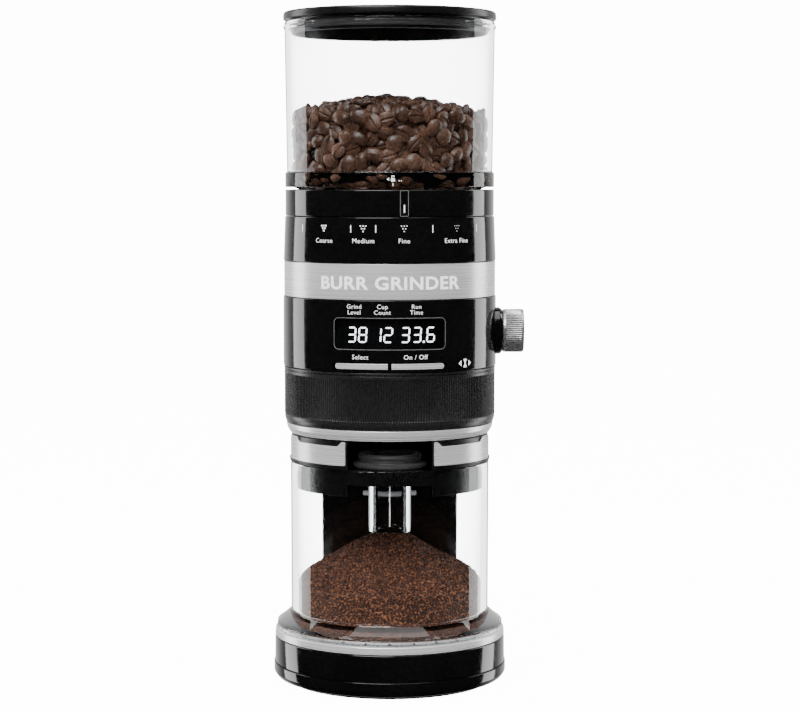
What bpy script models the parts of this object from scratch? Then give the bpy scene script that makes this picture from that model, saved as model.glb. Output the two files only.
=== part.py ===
"""Burr coffee grinder: base, spine, round head with gearbox and burrs, bean hopper and grounds jar.

Sizes below are in millimetres. The origin is on the table under the centre of the round head,
+Z is up, the display faces -Y and the adjusting knob is on the +X side.
"""
import math

import bmesh
import bpy
from mathutils import Matrix, Vector

MM = 0.001
OBJECT = "burr_coffee_grinder"

# Clearances
GAP = 0.3                     # between pieces that touch
RUN = 0.5                     # round pieces that turn by hand
WALL = 2.5                    # moulded shells

# Base, seen from above a round front and a narrower round back
BASE_RADIUS = 70.1
BASE_REAR_RADIUS = 56.0
SPINE_CENTRE_Y = 60.0
MAT_INSET = 8.0
MAT_HEIGHT = 1.8
PAN_HEIGHT = 9.1
PAN_FLOOR = 3.0
BASE_SHELL_INSET = 0.5
BASE_SHELL_HEIGHT = 15.8
TRAY_HEIGHT = 3.2
BASE_TRIM_RADIUS = 69.3
BASE_TRIM_WIDTH = 4.8
BASE_TRIM_HEIGHT = 4.3
GLAND_RADIUS = 5.0
GLAND_LENGTH = 9.0
BOARD_THICKNESS = 1.6

# Grounds jar and its lid
JAR_RADIUS = 59.6
JAR_WALL = 2.6
JAR_FLOOR = 7.8
JAR_HEIGHT = 100.8
JAR_FOOT_FLARE = 8.4
LID_HEIGHT = 16.5
LID_TOP = 2.5
LID_SKIRT = 16.0
LID_SHELF = 2.5
LID_SHELF_DROP = 9.3
NOTCH_HALF_WIDTH = 24.5
TRIM_THICKNESS = 0.6
TRIM_FROM, TRIM_TO = 25.4, 76.0      # degrees round from the front
SPOUT_RADIUS = 12.4
SPOUT_WALL = 1.8
SPOUT_LENGTH = 39.5
BOOT_HEIGHT = 14.4
BOOT_WALL = 3.7
SPOUT_LIP = 2.9
SPOUT_SETBACK = 6.0           # behind the middle of the chute

# Head, from the bottom up
HEAD_RADIUS = 63.8
SHELL_STEP = 0.6              # how far the silver band lies inside the display shell
CHASSIS_RADIUS = 57.5
CHASSIS_FLOOR = 3.0
HEAD_CLEARANCE = 0.6          # above the jar lid
LOWER_TRIM_HEIGHT = 6.3
CONTROL_RING_HEIGHT = 33.3
DISPLAY_HEIGHT = 41.4
BAND_HEIGHT = 20.6
SCALE_HEIGHT = 26.3
SCALE_TAPER = 0.95
GRIND_RING_HEIGHT = 15.4
ARM_HALF_WIDTH = 30.0
ARM_THICKNESS = 3.4

# Display window, buttons and knob; heights are above the foot of the display shell
WINDOW_HALF_ANGLE = 30.5
WINDOW_FROM, WINDOW_TO = 12.8, 31.7
BUTTON_FROM, BUTTON_TO = 1.8, 5.1
BUTTON_INNER_ANGLE, BUTTON_OUTER_ANGLE = 1.0, 29.4
BUTTON_TRAVEL = 1.2
KNOB_HEIGHT = 20.1
KNOB_RADIUS = 13.0
KNOB_LENGTH = 12.6
BEZEL_RADIUS = 14.1
BEZEL_PROUD = 3.6
STEM_RADIUS = 3.0

# Spine behind the jar and the head
SPINE_HALF_WIDTH = 48.0
SPINE_HEIGHT = 222.4
COVER_THICKNESS = 1.9
COVER_SETBACK = 0.7           # behind the base trim ring
RAIL_HALF_WIDTH = 18.4
RAIL_THICKNESS = 0.5
HOOK_HALF_WIDTH = 17.7
HOOK_DEPTH = 3.0
HOOK_HEIGHT = 3.0
HOOK_ABOVE_BASE = 64.2

# Burrs and drive
BURR_RADIUS = 24.0
BURR_CONE_HEIGHT = 21.0
BURR_RIM_HEIGHT = 4.0
BURR_TOP_RADIUS = 9.0
BURR_CLEARANCE = 1.6
OUTER_BURR_HEIGHT = 12.0
OUTER_BURR_RADIUS = 27.7
CARRIER_WALL = 3.4
CHAMBER_WALL = 2.7
CHAMBER_HEIGHT = 30.7
CHAMBER_FLOOR = 4.7
SHAFT_RADIUS = 4.0
BEARING_RADIUS = 9.0
PLATE_THICKNESS = 3.0
GEARBOX_HEIGHT = 20.0
DRIVE_TEETH, DRIVE_MODULE = 48, 1.0
PINION_TEETH = 12
CLUSTER_TEETH, CLUSTER_MODULE = 48, 0.75
GEAR_FACE = 6.0
MOTOR_RADIUS = 24.0
MOTOR_HEIGHT = 46.7
MOTOR_WALL = 1.5
MOTOR_Y = 30.0
ROTOR_RADIUS = 14.5
MOTOR_SHAFT_RADIUS = 2.0
CLUSTER_SHAFT_RADIUS = 3.0
DUCT_HALF_WIDTH = 12.5
DUCT_DEPTH = 11.4
DUCT_WALL = 1.6

# Bean hopper
HOPPER_TOP_RADIUS = 62.5
HOPPER_FOOT_RADIUS = 61.3
HOPPER_FLANGE_RADIUS = 62.4
HOPPER_FLANGE_HEIGHT = 8.5
HOPPER_BOWL_HEIGHT = 88.9
HOPPER_WALL = 2.2
HOPPER_SEAT = 1.4             # light gap between the grind ring and the hopper
FUNNEL_RADIUS = 27.0
FUNNEL_DEPTH = 12.4
LID_RADIUS = 63.4
LID_RIM = 4.8
LID_PLUG = 8.0
LID_REVEAL = 1.2
SEAL_HEIGHT = 4.0
POINTER_ANGLE = 7.7
POINTER_HALF_ANGLE = 2.35
POINTER_THICKNESS = 0.7
GATE_THICKNESS = 1.8

# Heights worked out from the stack of pieces
PAN_Z = MAT_HEIGHT + GAP
BASE_SHELL_Z = PAN_Z + PAN_HEIGHT + GAP
DECK_Z = BASE_SHELL_Z + BASE_SHELL_HEIGHT
TRAY_Z = DECK_Z + TRAY_HEIGHT
JAR_Z = DECK_Z + GAP + BASE_TRIM_HEIGHT + GAP
JAR_RIM_Z = JAR_Z + JAR_HEIGHT
LID_Z = JAR_RIM_Z + GAP
LID_TOP_Z = LID_Z + LID_HEIGHT
HEAD_Z = LID_TOP_Z + HEAD_CLEARANCE
CONTROL_Z = HEAD_Z + LOWER_TRIM_HEIGHT + GAP
DISPLAY_Z = CONTROL_Z + CONTROL_RING_HEIGHT + GAP
BAND_Z = DISPLAY_Z + DISPLAY_HEIGHT + GAP
SCALE_Z = BAND_Z + BAND_HEIGHT + GAP
RING_Z = SCALE_Z + SCALE_HEIGHT + GAP
RING_TOP_Z = RING_Z + GRIND_RING_HEIGHT
HOPPER_Z = RING_TOP_Z + HOPPER_SEAT
BOWL_Z = HOPPER_Z + HOPPER_FLANGE_HEIGHT
BOWL_TOP_Z = BOWL_Z + HOPPER_BOWL_HEIGHT
HOPPER_LID_Z = BOWL_TOP_Z + LID_REVEAL
CHASSIS_Z = HEAD_Z + HEAD_CLEARANCE
CHASSIS_TOP_Z = RING_Z - GAP - WALL - GAP
SHELF_TOP_Z = LID_Z - LID_SHELF_DROP + LID_SHELF
MOTOR_Z = CHASSIS_Z + CHASSIS_FLOOR + 4.0
LOWER_PLATE_Z = MOTOR_Z + MOTOR_HEIGHT + GAP
UPPER_PLATE_Z = LOWER_PLATE_Z + PLATE_THICKNESS + GEARBOX_HEIGHT
CHAMBER_Z = UPPER_PLATE_Z + PLATE_THICKNESS + GAP
CHAMBER_FLOOR_Z = CHAMBER_Z + CHAMBER_FLOOR
SWEEPER_Z = CHAMBER_FLOOR_Z + GAP
SWEEPER_HEIGHT = 1.7
BURR_Z = SWEEPER_Z + SWEEPER_HEIGHT + 2 * GAP
DRIVE_Z = LOWER_PLATE_Z + PLATE_THICKNESS + 3.0
CLUSTER_Z = DRIVE_Z + GEAR_FACE + 2.0
WEB_THICKNESS = 2.0
GATE_Z = HOPPER_Z - FUNNEL_DEPTH - GAP - GATE_THICKNESS
SHUTTER_Z = GATE_Z - GAP - GATE_THICKNESS
KNOB_Z = DISPLAY_Z + KNOB_HEIGHT

# Widths worked out from the pieces they fit
CHASSIS_BORE = CHASSIS_RADIUS - WALL
DISPLAY_BORE = HEAD_RADIUS - WALL
BAND_RADIUS = HEAD_RADIUS - SHELL_STEP
SCALE_FOOT_RADIUS = HEAD_RADIUS - SHELL_STEP / 2
SCALE_TOP_RADIUS = SCALE_FOOT_RADIUS - SCALE_TAPER
RING_RADIUS = SCALE_TOP_RADIUS - 0.25
RING_BORE = RING_RADIUS - 3.8
CARRIER_RADIUS = OUTER_BURR_RADIUS + GAP + CARRIER_WALL
NUT_BORE = CARRIER_RADIUS + GAP
NUT_RADIUS = NUT_BORE + 3.0
CHAMBER_BORE = CARRIER_RADIUS + 2 * GAP
CHAMBER_RADIUS = CHAMBER_BORE + CHAMBER_WALL
DUCT_BACK_Y = -CHAMBER_RADIUS - 2 * GAP
DUCT_FRONT_Y = DUCT_BACK_Y - DUCT_DEPTH
BOARD_BACK_Y = DUCT_FRONT_Y - 1.0
SPOUT_Y = (DUCT_BACK_Y + DUCT_FRONT_Y) / 2 + SPOUT_SETBACK
SPINE_HOLLOW_R = HEAD_RADIUS + 0.4
COVER_Y = BASE_TRIM_RADIUS + COVER_SETBACK
SPINE_FRONT_Y = COVER_Y + COVER_THICKNESS + GAP
SPINE_Z = DECK_Z + GAP
CLUSTER_DISTANCE = DRIVE_MODULE * (DRIVE_TEETH + PINION_TEETH) / 2
MOTOR_DISTANCE = CLUSTER_MODULE * (CLUSTER_TEETH + PINION_TEETH) / 2

ROUND = 40                    # steps round the outer shells
FINE = 24                     # steps round the inner pieces
SMALL = 12                    # steps round shafts and holes

# Base colour, roughness, metallic
FINISHES = {
    "black_plastic": ((0.012, 0.012, 0.013), 0.18, 0.0),
    "matte_black": ((0.02, 0.02, 0.021), 0.55, 0.0),
    "brushed_steel": ((0.72, 0.72, 0.73), 0.32, 1.0),
    "clear_plastic": ((0.92, 0.94, 0.95), 0.04, 0.0),
    "tinted_glass": ((0.03, 0.03, 0.03), 0.05, 0.0),
    "rubber": ((0.015, 0.015, 0.015), 0.8, 0.0),
    "machined_steel": ((0.5, 0.5, 0.52), 0.35, 1.0),
    "brass": ((0.75, 0.55, 0.22), 0.35, 1.0),
    "gear_plastic": ((0.8, 0.78, 0.7), 0.5, 0.0),
    "board_green": ((0.02, 0.16, 0.06), 0.5, 0.0),
    "copper": ((0.7, 0.3, 0.15), 0.4, 1.0),
}


# ---------------------------------------------------------------- helpers

def clear_scene():
    for thing in list(bpy.data.objects):
        bpy.data.objects.remove(thing, do_unlink=True)


def new_collection(name):
    group = bpy.data.collections.new(name)
    bpy.context.scene.collection.children.link(group)
    return group


def material_for(piece_name, finish):
    colour, roughness, metallic = FINISHES[finish]
    material = bpy.data.materials.new(piece_name + "_" + finish)
    material.use_nodes = True
    shader = material.node_tree.nodes["Principled BSDF"]
    shader.inputs["Base Color"].default_value = (*colour, 1)
    shader.inputs["Roughness"].default_value = roughness
    shader.inputs["Metallic"].default_value = metallic
    return material


def add_piece(name, mesh, finish, location=(0, 0, 0), rotation=(0, 0, 0)):
    """Put a mesh in the scene as a named part, or as a cutter when it has no finish."""
    piece = bpy.data.objects.new(name, mesh)
    piece.location = Vector(location) * MM
    piece.rotation_euler = rotation
    if finish:
        PARTS.objects.link(piece)
        mesh.materials.append(material_for(name, finish))
    else:
        CUTTERS.objects.link(piece)
        piece.hide_render = True
        piece.display_type = "WIRE"
    return piece


def turned(name, profile, finish=None, steps=ROUND, centre=(0, 0, 0), rotation=(0, 0, 0)):
    """Turn (radius, height) points about the piece's own Z; the outer side runs downwards."""
    count = len(profile)
    edges = [(i, i + 1) for i in range(count - 1)]
    if profile[0][0] > 0:
        edges.append((count - 1, 0))
    mesh = bpy.data.meshes.new(name)
    mesh.from_pydata([(r * MM, 0, z * MM) for r, z in profile], edges, [])
    piece = add_piece(name, mesh, finish, centre, rotation)
    screw = piece.modifiers.new("Turn", "SCREW")
    screw.steps = screw.render_steps = steps
    screw.use_merge_vertices = True
    screw.merge_threshold = 0.00001
    screw.use_smooth_shade = True
    return piece


def ring(outer, inner, bottom, top):
    """Section of a plain ring, for turned()."""
    return [(outer, top), (outer, bottom), (inner, bottom), (inner, top)]


def rod(name, radius, bottom, top, finish=None, steps=SMALL, centre=(0, 0, 0), rotation=(0, 0, 0)):
    """Cylinder from a primitive, along the piece's own Z."""
    shape = bmesh.new()
    bmesh.ops.create_cone(shape, cap_ends=True, segments=steps, radius1=radius * MM,
                          radius2=radius * MM, depth=(top - bottom) * MM)
    bmesh.ops.translate(shape, verts=shape.verts, vec=(0, 0, (top + bottom) / 2 * MM))
    return from_bmesh(name, shape, finish, centre, rotation)


def box(name, low, high, finish=None, rotation=(0, 0, 0)):
    """Box between two corners, given before the rotation about the origin."""
    size = Vector(high) - Vector(low)
    middle = (Vector(high) + Vector(low)) / 2
    shape = bmesh.new()
    bmesh.ops.create_cube(shape, size=1)
    bmesh.ops.scale(shape, verts=shape.verts, vec=size * MM)
    bmesh.ops.translate(shape, verts=shape.verts, vec=middle * MM)
    return from_bmesh(name, shape, finish, (0, 0, 0), rotation)


def from_bmesh(name, shape, finish, centre, rotation):
    mesh = bpy.data.meshes.new(name)
    shape.to_mesh(mesh)
    shape.free()
    return add_piece(name, mesh, finish, centre, rotation)


def plate(name, outlines, bottom, top, finish=None):
    """Flat solid: the first outline is its edge, and the others are holes."""
    curve = bpy.data.curves.new(name, "CURVE")
    curve.dimensions = "2D"
    curve.fill_mode = "BOTH"
    curve.extrude = (top - bottom) / 2 * MM
    for outline in outlines:
        spline = curve.splines.new("POLY")
        spline.points.add(len(outline) - 1)
        for point, (x, y) in zip(spline.points, outline):
            point.co = (x * MM, y * MM, 0, 1)
        spline.use_cyclic_u = True
    guide = bpy.data.objects.new(name + "_outline", curve)
    bpy.context.scene.collection.objects.link(guide)
    shown = guide.evaluated_get(bpy.context.evaluated_depsgraph_get())
    mesh = bpy.data.meshes.new_from_object(shown)
    bpy.data.objects.remove(guide)
    mesh.materials.clear()
    shape = bmesh.new()
    shape.from_mesh(mesh)
    bmesh.ops.remove_doubles(shape, verts=shape.verts, dist=0.00001)
    shape.to_mesh(mesh)
    shape.free()
    mesh.name = name
    return add_piece(name, mesh, finish, (0, 0, (top + bottom) / 2))


def combine(piece, operation, tools):
    for tool in tools:
        change = piece.modifiers.new(operation.title() + " " + tool.name, "BOOLEAN")
        change.operation = operation
        change.object = tool


def cut(piece, *cutters):
    combine(piece, "DIFFERENCE", cutters)


def join(piece, *others):
    combine(piece, "UNION", others)


def keep_inside(piece, *limits):
    combine(piece, "INTERSECT", limits)


def pivot(name, location=(0, 0, 0)):
    """Empty on a joint's axis, which the pieces of one moving body are parented to."""
    empty = bpy.data.objects.new(name, None)
    empty.location = Vector(location) * MM
    PARTS.objects.link(empty)
    return empty


def carry(empty, *pieces):
    for piece in pieces:
        piece.parent = empty
        piece.matrix_parent_inverse = Matrix.Translation(-empty.location)


# ---------------------------------------------------------------- outlines

def arc(radius, start, end, count, centre=(0, 0)):
    """Points on an arc; angles in degrees from +X."""
    angles = [math.radians(start + (end - start) * i / count) for i in range(count + 1)]
    return [(centre[0] + radius * math.cos(a), centre[1] + radius * math.sin(a)) for a in angles]


def circle(radius, count=FINE, centre=(0, 0)):
    return arc(radius, 0, 360, count, centre)[:-1]


def sector(inner, outer, start, end, count=8, centre=(0, 0)):
    """Band between two radii; angles in degrees round from the front (-Y) towards +X."""
    first, last = start - 90, end - 90
    return arc(outer, first, last, count, centre) + arc(inner, last, first, count, centre)


def base_outline(inset):
    """Round front and round back joined by their straight tangents."""
    front, rear = BASE_RADIUS - inset, BASE_REAR_RADIUS - inset
    lean = math.degrees(math.asin((front - rear) / SPINE_CENTRE_Y))
    return (arc(front, 180 - lean, 360 + lean, 32)
            + arc(rear, lean, 180 - lean, 16, (0, SPINE_CENTRE_Y)))


def spine_outline(inset, front_y):
    """Straight sides from the front edge to a half round back."""
    half = SPINE_HALF_WIDTH - inset
    back = arc(half, 0, 180, 20, (0, SPINE_CENTRE_Y))
    return [(half, front_y)] + back + [(-half, front_y)]


def toothed(teeth, root, tip, phase, root_share=0.5, tip_share=0.24):
    """Gear outline; phase is the angle of one tooth's middle, and shares are of the pitch."""
    pitch = 360 / teeth
    points = []
    for tooth in range(teeth):
        middle = phase + tooth * pitch
        for radius, share in ((root, -root_share), (tip, -tip_share), (tip, tip_share),
                              (root, root_share)):
            angle = math.radians(middle + share * pitch / 2)
            points.append((radius * math.cos(angle), radius * math.sin(angle)))
    return points


def gear(name, teeth, module, phase, centre, bottom, top, bore, finish=None):
    """Spur gear whose teeth leave backlash all round the mesh."""
    pitch_radius = teeth * module / 2
    teeth_outline = toothed(teeth, pitch_radius - 1.2 * module, pitch_radius + 0.85 * module, phase,
                            root_share=0.62, tip_share=0.24)
    outlines = [teeth_outline, circle(bore, SMALL)]
    placed = [[(x + centre[0], y + centre[1]) for x, y in outline] for outline in outlines]
    return plate(name, placed, bottom, top, finish)


# ---------------------------------------------------------------- base and spine

def make_base():
    plate("foot_mat", [base_outline(MAT_INSET)], 0, MAT_HEIGHT, "rubber")
    pan = plate("base_pan", [base_outline(0)], PAN_Z, PAN_Z + PAN_HEIGHT, "black_plastic")
    cut(pan, plate("pan_pocket", [base_outline(WALL)], PAN_Z + PAN_FLOOR, PAN_Z + PAN_HEIGHT + 5))

    shell = plate("base_shell", [base_outline(BASE_SHELL_INSET)], BASE_SHELL_Z, DECK_Z,
                  "black_plastic")
    pocket = plate("base_pocket", [base_outline(BASE_SHELL_INSET + WALL)], BASE_SHELL_Z - 5,
                   DECK_Z - WALL)
    tray_radius = BASE_TRIM_RADIUS - BASE_TRIM_WIDTH - GAP
    tray = rod("tray", tray_radius, DECK_Z - WALL / 2, TRAY_Z, steps=ROUND)
    gland_z = (BASE_SHELL_Z + DECK_Z) / 2
    rear_y = SPINE_CENTRE_Y + BASE_REAR_RADIUS
    hole = rod("gland_hole", GLAND_RADIUS + GAP, rear_y - 12, rear_y + 12,
               centre=(0, 0, gland_z), rotation=(-math.pi / 2, 0, 0))
    wire_hole = rod("wire_hole", 8, DECK_Z - 10, DECK_Z + 10, centre=(0, SPINE_CENTRE_Y + 30, 0))
    join(shell, tray)
    cut(shell, pocket, hole, wire_hole)

    chamfer = 0.6
    inner = BASE_TRIM_RADIUS - BASE_TRIM_WIDTH
    bottom, top = DECK_Z + GAP, DECK_Z + GAP + BASE_TRIM_HEIGHT
    turned("base_trim_ring", [(BASE_TRIM_RADIUS - chamfer, top), (BASE_TRIM_RADIUS, top - chamfer),
                              (BASE_TRIM_RADIUS, bottom), (inner, bottom), (inner, top)],
           "brushed_steel")
    turned("cord_gland", ring(GLAND_RADIUS, GLAND_RADIUS - 2, rear_y - GLAND_LENGTH / 2,
                              rear_y + GLAND_LENGTH / 2), "rubber", SMALL,
           centre=(0, 0, gland_z), rotation=(-math.pi / 2, 0, 0))
    box("power_board", (-28, -20, BASE_SHELL_Z + 3), (28, 40, BASE_SHELL_Z + 3 + BOARD_THICKNESS),
        "board_green")


def make_spine():
    top = SPINE_Z + SPINE_HEIGHT
    step_z = HEAD_Z - GAP
    overhang_y = CHASSIS_RADIUS / 2
    shell = plate("rear_housing", [spine_outline(0, overhang_y)], SPINE_Z, top, "black_plastic")
    bore = rod("head_clearance", SPINE_HOLLOW_R, SPINE_Z - 5, top + 10, steps=ROUND)
    jar_room = box("jar_room", (-SPINE_HALF_WIDTH - 5, 0, SPINE_Z - 5),
                   (SPINE_HALF_WIDTH + 5, SPINE_FRONT_Y, step_z))
    room = plate("spine_room", [spine_outline(WALL, overhang_y)], SPINE_Z + WALL, top - WALL)
    cut(room,
        rod("spine_front_wall", SPINE_HOLLOW_R + WALL, SPINE_Z - 5, top + 5, steps=ROUND),
        box("overhang_floor", (-SPINE_HALF_WIDTH - 5, 0, SPINE_Z - 5),
            (SPINE_HALF_WIDTH + 5, SPINE_FRONT_Y + WALL, step_z + WALL)))
    half = math.sqrt(SPINE_HALF_WIDTH ** 2 - (SPINE_FRONT_Y - SPINE_CENTRE_Y) ** 2)
    frame = half - 3 * WALL
    opening = box("front_opening", (-frame, SPINE_FRONT_Y - 5, SPINE_Z + 2 * WALL),
                  (frame, SPINE_FRONT_Y + WALL + 1, step_z - WALL))
    arm_z = arm_bottom()
    arm_slot = box("arm_slot", (-ARM_HALF_WIDTH - GAP, HEAD_RADIUS - 15, arm_z - GAP),
                   (ARM_HALF_WIDTH + GAP, SPINE_FRONT_Y + 5, arm_z + ARM_THICKNESS + GAP))
    wire_hole = rod("spine_wire_hole", 8, SPINE_Z - 5, SPINE_Z + 8,
                    centre=(0, SPINE_CENTRE_Y + 30, 0))
    cut(shell, bore, jar_room, room, opening, arm_slot, wire_hole)

    cover_top = step_z - GAP
    box("column_front_cover", (-half, COVER_Y, SPINE_Z), (half, COVER_Y + COVER_THICKNESS, cover_top),
        "black_plastic")
    rail_back = COVER_Y - GAP
    rail_front = rail_back - RAIL_THICKNESS
    rail_z = JAR_Z + 1
    box("hook_rail", (-RAIL_HALF_WIDTH, rail_front, rail_z),
        (RAIL_HALF_WIDTH, rail_back, cover_top), "black_plastic")
    hook_back = rail_front - GAP
    hook_z = SPINE_Z + HOOK_ABOVE_BASE + TRAY_HEIGHT + 1
    box("hook_bar", (-HOOK_HALF_WIDTH, hook_back - HOOK_DEPTH, hook_z),
        (HOOK_HALF_WIDTH, hook_back, hook_z + HOOK_HEIGHT), "brushed_steel")


def arm_bottom():
    """Height of the arm that carries the head, just under the control ring."""
    return CONTROL_Z - GAP - ARM_THICKNESS - GAP


# ---------------------------------------------------------------- head shells

def make_head_shells():
    floor_top = CHASSIS_Z + CHASSIS_FLOOR
    chassis = turned("head_chassis", [(0, floor_top), (CHASSIS_BORE, floor_top),
                                      (CHASSIS_BORE, CHASSIS_TOP_Z), (CHASSIS_RADIUS, CHASSIS_TOP_Z),
                                      (CHASSIS_RADIUS, CHASSIS_Z), (0, CHASSIS_Z)], "matte_black")
    arm_z = arm_bottom()
    arm = box("head_arm", (-ARM_HALF_WIDTH, CHASSIS_BORE - 9, arm_z),
              (ARM_HALF_WIDTH, SPINE_FRONT_Y + 4, arm_z + ARM_THICKNESS))
    bore = rod("chassis_bore", CHASSIS_BORE, floor_top, CHASSIS_TOP_Z + 5, steps=ROUND)
    cut(arm, bore)
    chute_hole = box("chute_hole", (-DUCT_HALF_WIDTH - GAP, DUCT_FRONT_Y - GAP, CHASSIS_Z - 5),
                     (DUCT_HALF_WIDTH + GAP, DUCT_BACK_Y + GAP, floor_top + 5))
    half = (DISPLAY_BORE - 1) * math.sin(math.radians(WINDOW_HALF_ANGLE + 3))
    display_hole = box("display_hole", (-half, -HEAD_RADIUS - 5, DISPLAY_Z + 0.5),
                       (half, BOARD_BACK_Y + 8, DISPLAY_Z + WINDOW_TO + 4))
    stem_hole = rod("stem_hole", STEM_RADIUS + 1, CHASSIS_BORE - 8, CHASSIS_RADIUS + 5,
                    centre=(0, 0, KNOB_Z), rotation=(0, math.pi / 2, 0))
    join(chassis, arm)
    cut(chassis, chute_hole, display_hole, stem_hole)

    lower_top = HEAD_Z + LOWER_TRIM_HEIGHT
    lower = turned("lower_trim_ring", [(HEAD_RADIUS - 1.6, lower_top), (HEAD_RADIUS - 1.6, lower_top - 2.2),
                                       (JAR_RADIUS + 0.1, HEAD_Z), (CHASSIS_RADIUS + GAP, HEAD_Z),
                                       (CHASSIS_RADIUS + GAP, lower_top)], "brushed_steel")
    cut(lower, box("trim_gap", (-ARM_HALF_WIDTH - GAP, 30, HEAD_Z - 5),
                   (ARM_HALF_WIDTH + GAP, HEAD_RADIUS + 10, lower_top + 5)))

    band_top = BAND_Z + BAND_HEIGHT
    turned("silver_band", ring(BAND_RADIUS, BAND_RADIUS - 1.7, BAND_Z, band_top), "brushed_steel")
    scale_top = SCALE_Z + SCALE_HEIGHT
    shelf = scale_top - WALL
    turned("scale_shell", [(SCALE_TOP_RADIUS, scale_top), (SCALE_FOOT_RADIUS, SCALE_Z),
                           (SCALE_FOOT_RADIUS - WALL, SCALE_Z), (SCALE_FOOT_RADIUS - WALL, shelf),
                           (CHASSIS_BORE - 0.5, shelf), (CHASSIS_BORE - 0.5, scale_top)],
           "black_plastic")


def make_control_ring():
    top = CONTROL_Z + CONTROL_RING_HEIGHT
    outer, bore = HEAD_RADIUS - 0.4, CHASSIS_RADIUS + RUN
    piece = turned("control_ring", [(outer, top), (outer - 0.3, CONTROL_Z + 4), (outer - 1, CONTROL_Z),
                                    (bore, CONTROL_Z), (bore, top)], "black_plastic")
    carry(pivot("control_ring_axis", (0, 0, CONTROL_Z)), piece)


def make_display():
    top = DISPLAY_Z + DISPLAY_HEIGHT
    shell = turned("display_shell", [(HEAD_RADIUS - 0.1, top), (HEAD_RADIUS, DISPLAY_Z),
                                     (DISPLAY_BORE, DISPLAY_Z), (DISPLAY_BORE, top - WALL),
                                     (CHASSIS_RADIUS + GAP, top - WALL), (CHASSIS_RADIUS + GAP, top)],
                   "black_plastic")
    low, high = DISPLAY_Z + WINDOW_FROM, DISPLAY_Z + WINDOW_TO
    slack = math.degrees(GAP / HEAD_RADIUS)
    window_hole = plate("window_hole", [sector(DISPLAY_BORE - 3, HEAD_RADIUS + 5,
                                               -WINDOW_HALF_ANGLE - slack, WINDOW_HALF_ANGLE + slack)],
                        low - GAP, high + GAP)
    knob_hole = rod("knob_hole", BEZEL_RADIUS + GAP, DISPLAY_BORE - 12, HEAD_RADIUS + 12, steps=FINE,
                    centre=(0, 0, KNOB_Z), rotation=(0, math.pi / 2, 0))
    cut(shell, window_hole, knob_hole, button_slot("left_slot", -1), button_slot("right_slot", 1))

    plate("display_window", [sector(DISPLAY_BORE + GAP, HEAD_RADIUS - 0.1,
                                    -WINDOW_HALF_ANGLE, WINDOW_HALF_ANGLE)], low, high, "tinted_glass")
    board = box("display_board", (-30, BOARD_BACK_Y - BOARD_THICKNESS, DISPLAY_Z + 1.4),
                (30, BOARD_BACK_Y, high + 2), "board_green")
    front = BOARD_BACK_Y - BOARD_THICKNESS
    button_z = DISPLAY_Z + (BUTTON_FROM + BUTTON_TO) / 2
    for side in (-1, 1):
        x = side * switch_x()
        join(board, box("switch_%d" % side, (x - 2, front - 2, button_z - 2),
                        (x + 2, front + 0.5, button_z + 2)))
    box("lcd_module", (-27, front - GAP - 3.6, low - 0.5), (27, front - GAP, high + 0.5),
        "matte_black")


def button_slot(name, side):
    """Room for a button, with its sideways drift as it is pressed."""
    room = math.degrees((GAP + BUTTON_TRAVEL * math.sin(math.radians(button_middle()))) / HEAD_RADIUS)
    inner, outer = BUTTON_INNER_ANGLE - room / 2, BUTTON_OUTER_ANGLE + room
    angles = (inner, outer) if side > 0 else (-outer, -inner)
    return plate(name, [sector(DISPLAY_BORE - 3, HEAD_RADIUS + 5, *angles)],
                 DISPLAY_Z + BUTTON_FROM - GAP, DISPLAY_Z + BUTTON_TO + GAP)


def button_middle():
    return (BUTTON_INNER_ANGLE + BUTTON_OUTER_ANGLE) / 2


def switch_x():
    return DISPLAY_BORE * math.sin(math.radians(button_middle())) - 1.5


def make_buttons():
    low, high = DISPLAY_Z + BUTTON_FROM, DISPLAY_Z + BUTTON_TO
    plunger_end = -BOARD_BACK_Y + BOARD_THICKNESS + 6
    for name, side in (("program_button", -1), ("start_button", 1)):
        angles = (BUTTON_INNER_ANGLE, BUTTON_OUTER_ANGLE)
        if side < 0:
            angles = (-BUTTON_OUTER_ANGLE, -BUTTON_INNER_ANGLE)
        piece = plate(name, [sector(DISPLAY_BORE + 0.6, HEAD_RADIUS + 0.1, *angles)], low, high,
                      "brushed_steel")
        turn = side * math.radians(button_middle())
        join(piece, box(name + "_plunger", (-1.5, -DISPLAY_BORE - 1.5, low + 0.3),
                        (1.5, -plunger_end, high - 0.3), rotation=(0, 0, turn)))
        place = (HEAD_RADIUS * math.sin(turn), -HEAD_RADIUS * math.cos(turn), (low + high) / 2)
        carry(pivot(name + "_axis", place), piece)


def make_knob():
    turn = (0, math.pi / 2, 0)
    bezel_end = HEAD_RADIUS + BEZEL_PROUD
    turned("knob_bezel", ring(BEZEL_RADIUS, BEZEL_RADIUS - 3, CHASSIS_RADIUS + RUN, bezel_end),
           "black_plastic", FINE, centre=(0, 0, KNOB_Z), rotation=turn)
    back, face = bezel_end + GAP, bezel_end + GAP + KNOB_LENGTH
    stem_end = CHASSIS_BORE - 0.7
    knob = turned("control_knob", [(0, face), (KNOB_RADIUS - 0.6, face), (KNOB_RADIUS, face - 0.6),
                                   (KNOB_RADIUS, back), (STEM_RADIUS, back), (STEM_RADIUS, stem_end),
                                   (0, stem_end)], "brushed_steel", FINE,
                  centre=(0, 0, KNOB_Z), rotation=turn)
    carry(pivot("knob_axis", (0, 0, KNOB_Z)), knob)
    box("knob_encoder", (stem_end - GAP - 9, -6, KNOB_Z - 6), (stem_end - GAP, 6, KNOB_Z + 6),
        "matte_black")


# ---------------------------------------------------------------- drive

def cluster_centre():
    """Where the cluster shaft stands: in mesh with the drive gear and with the motor pinion."""
    y = (CLUSTER_DISTANCE ** 2 - MOTOR_DISTANCE ** 2 + MOTOR_Y ** 2) / (2 * MOTOR_Y)
    return math.sqrt(CLUSTER_DISTANCE ** 2 - y ** 2), y


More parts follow.
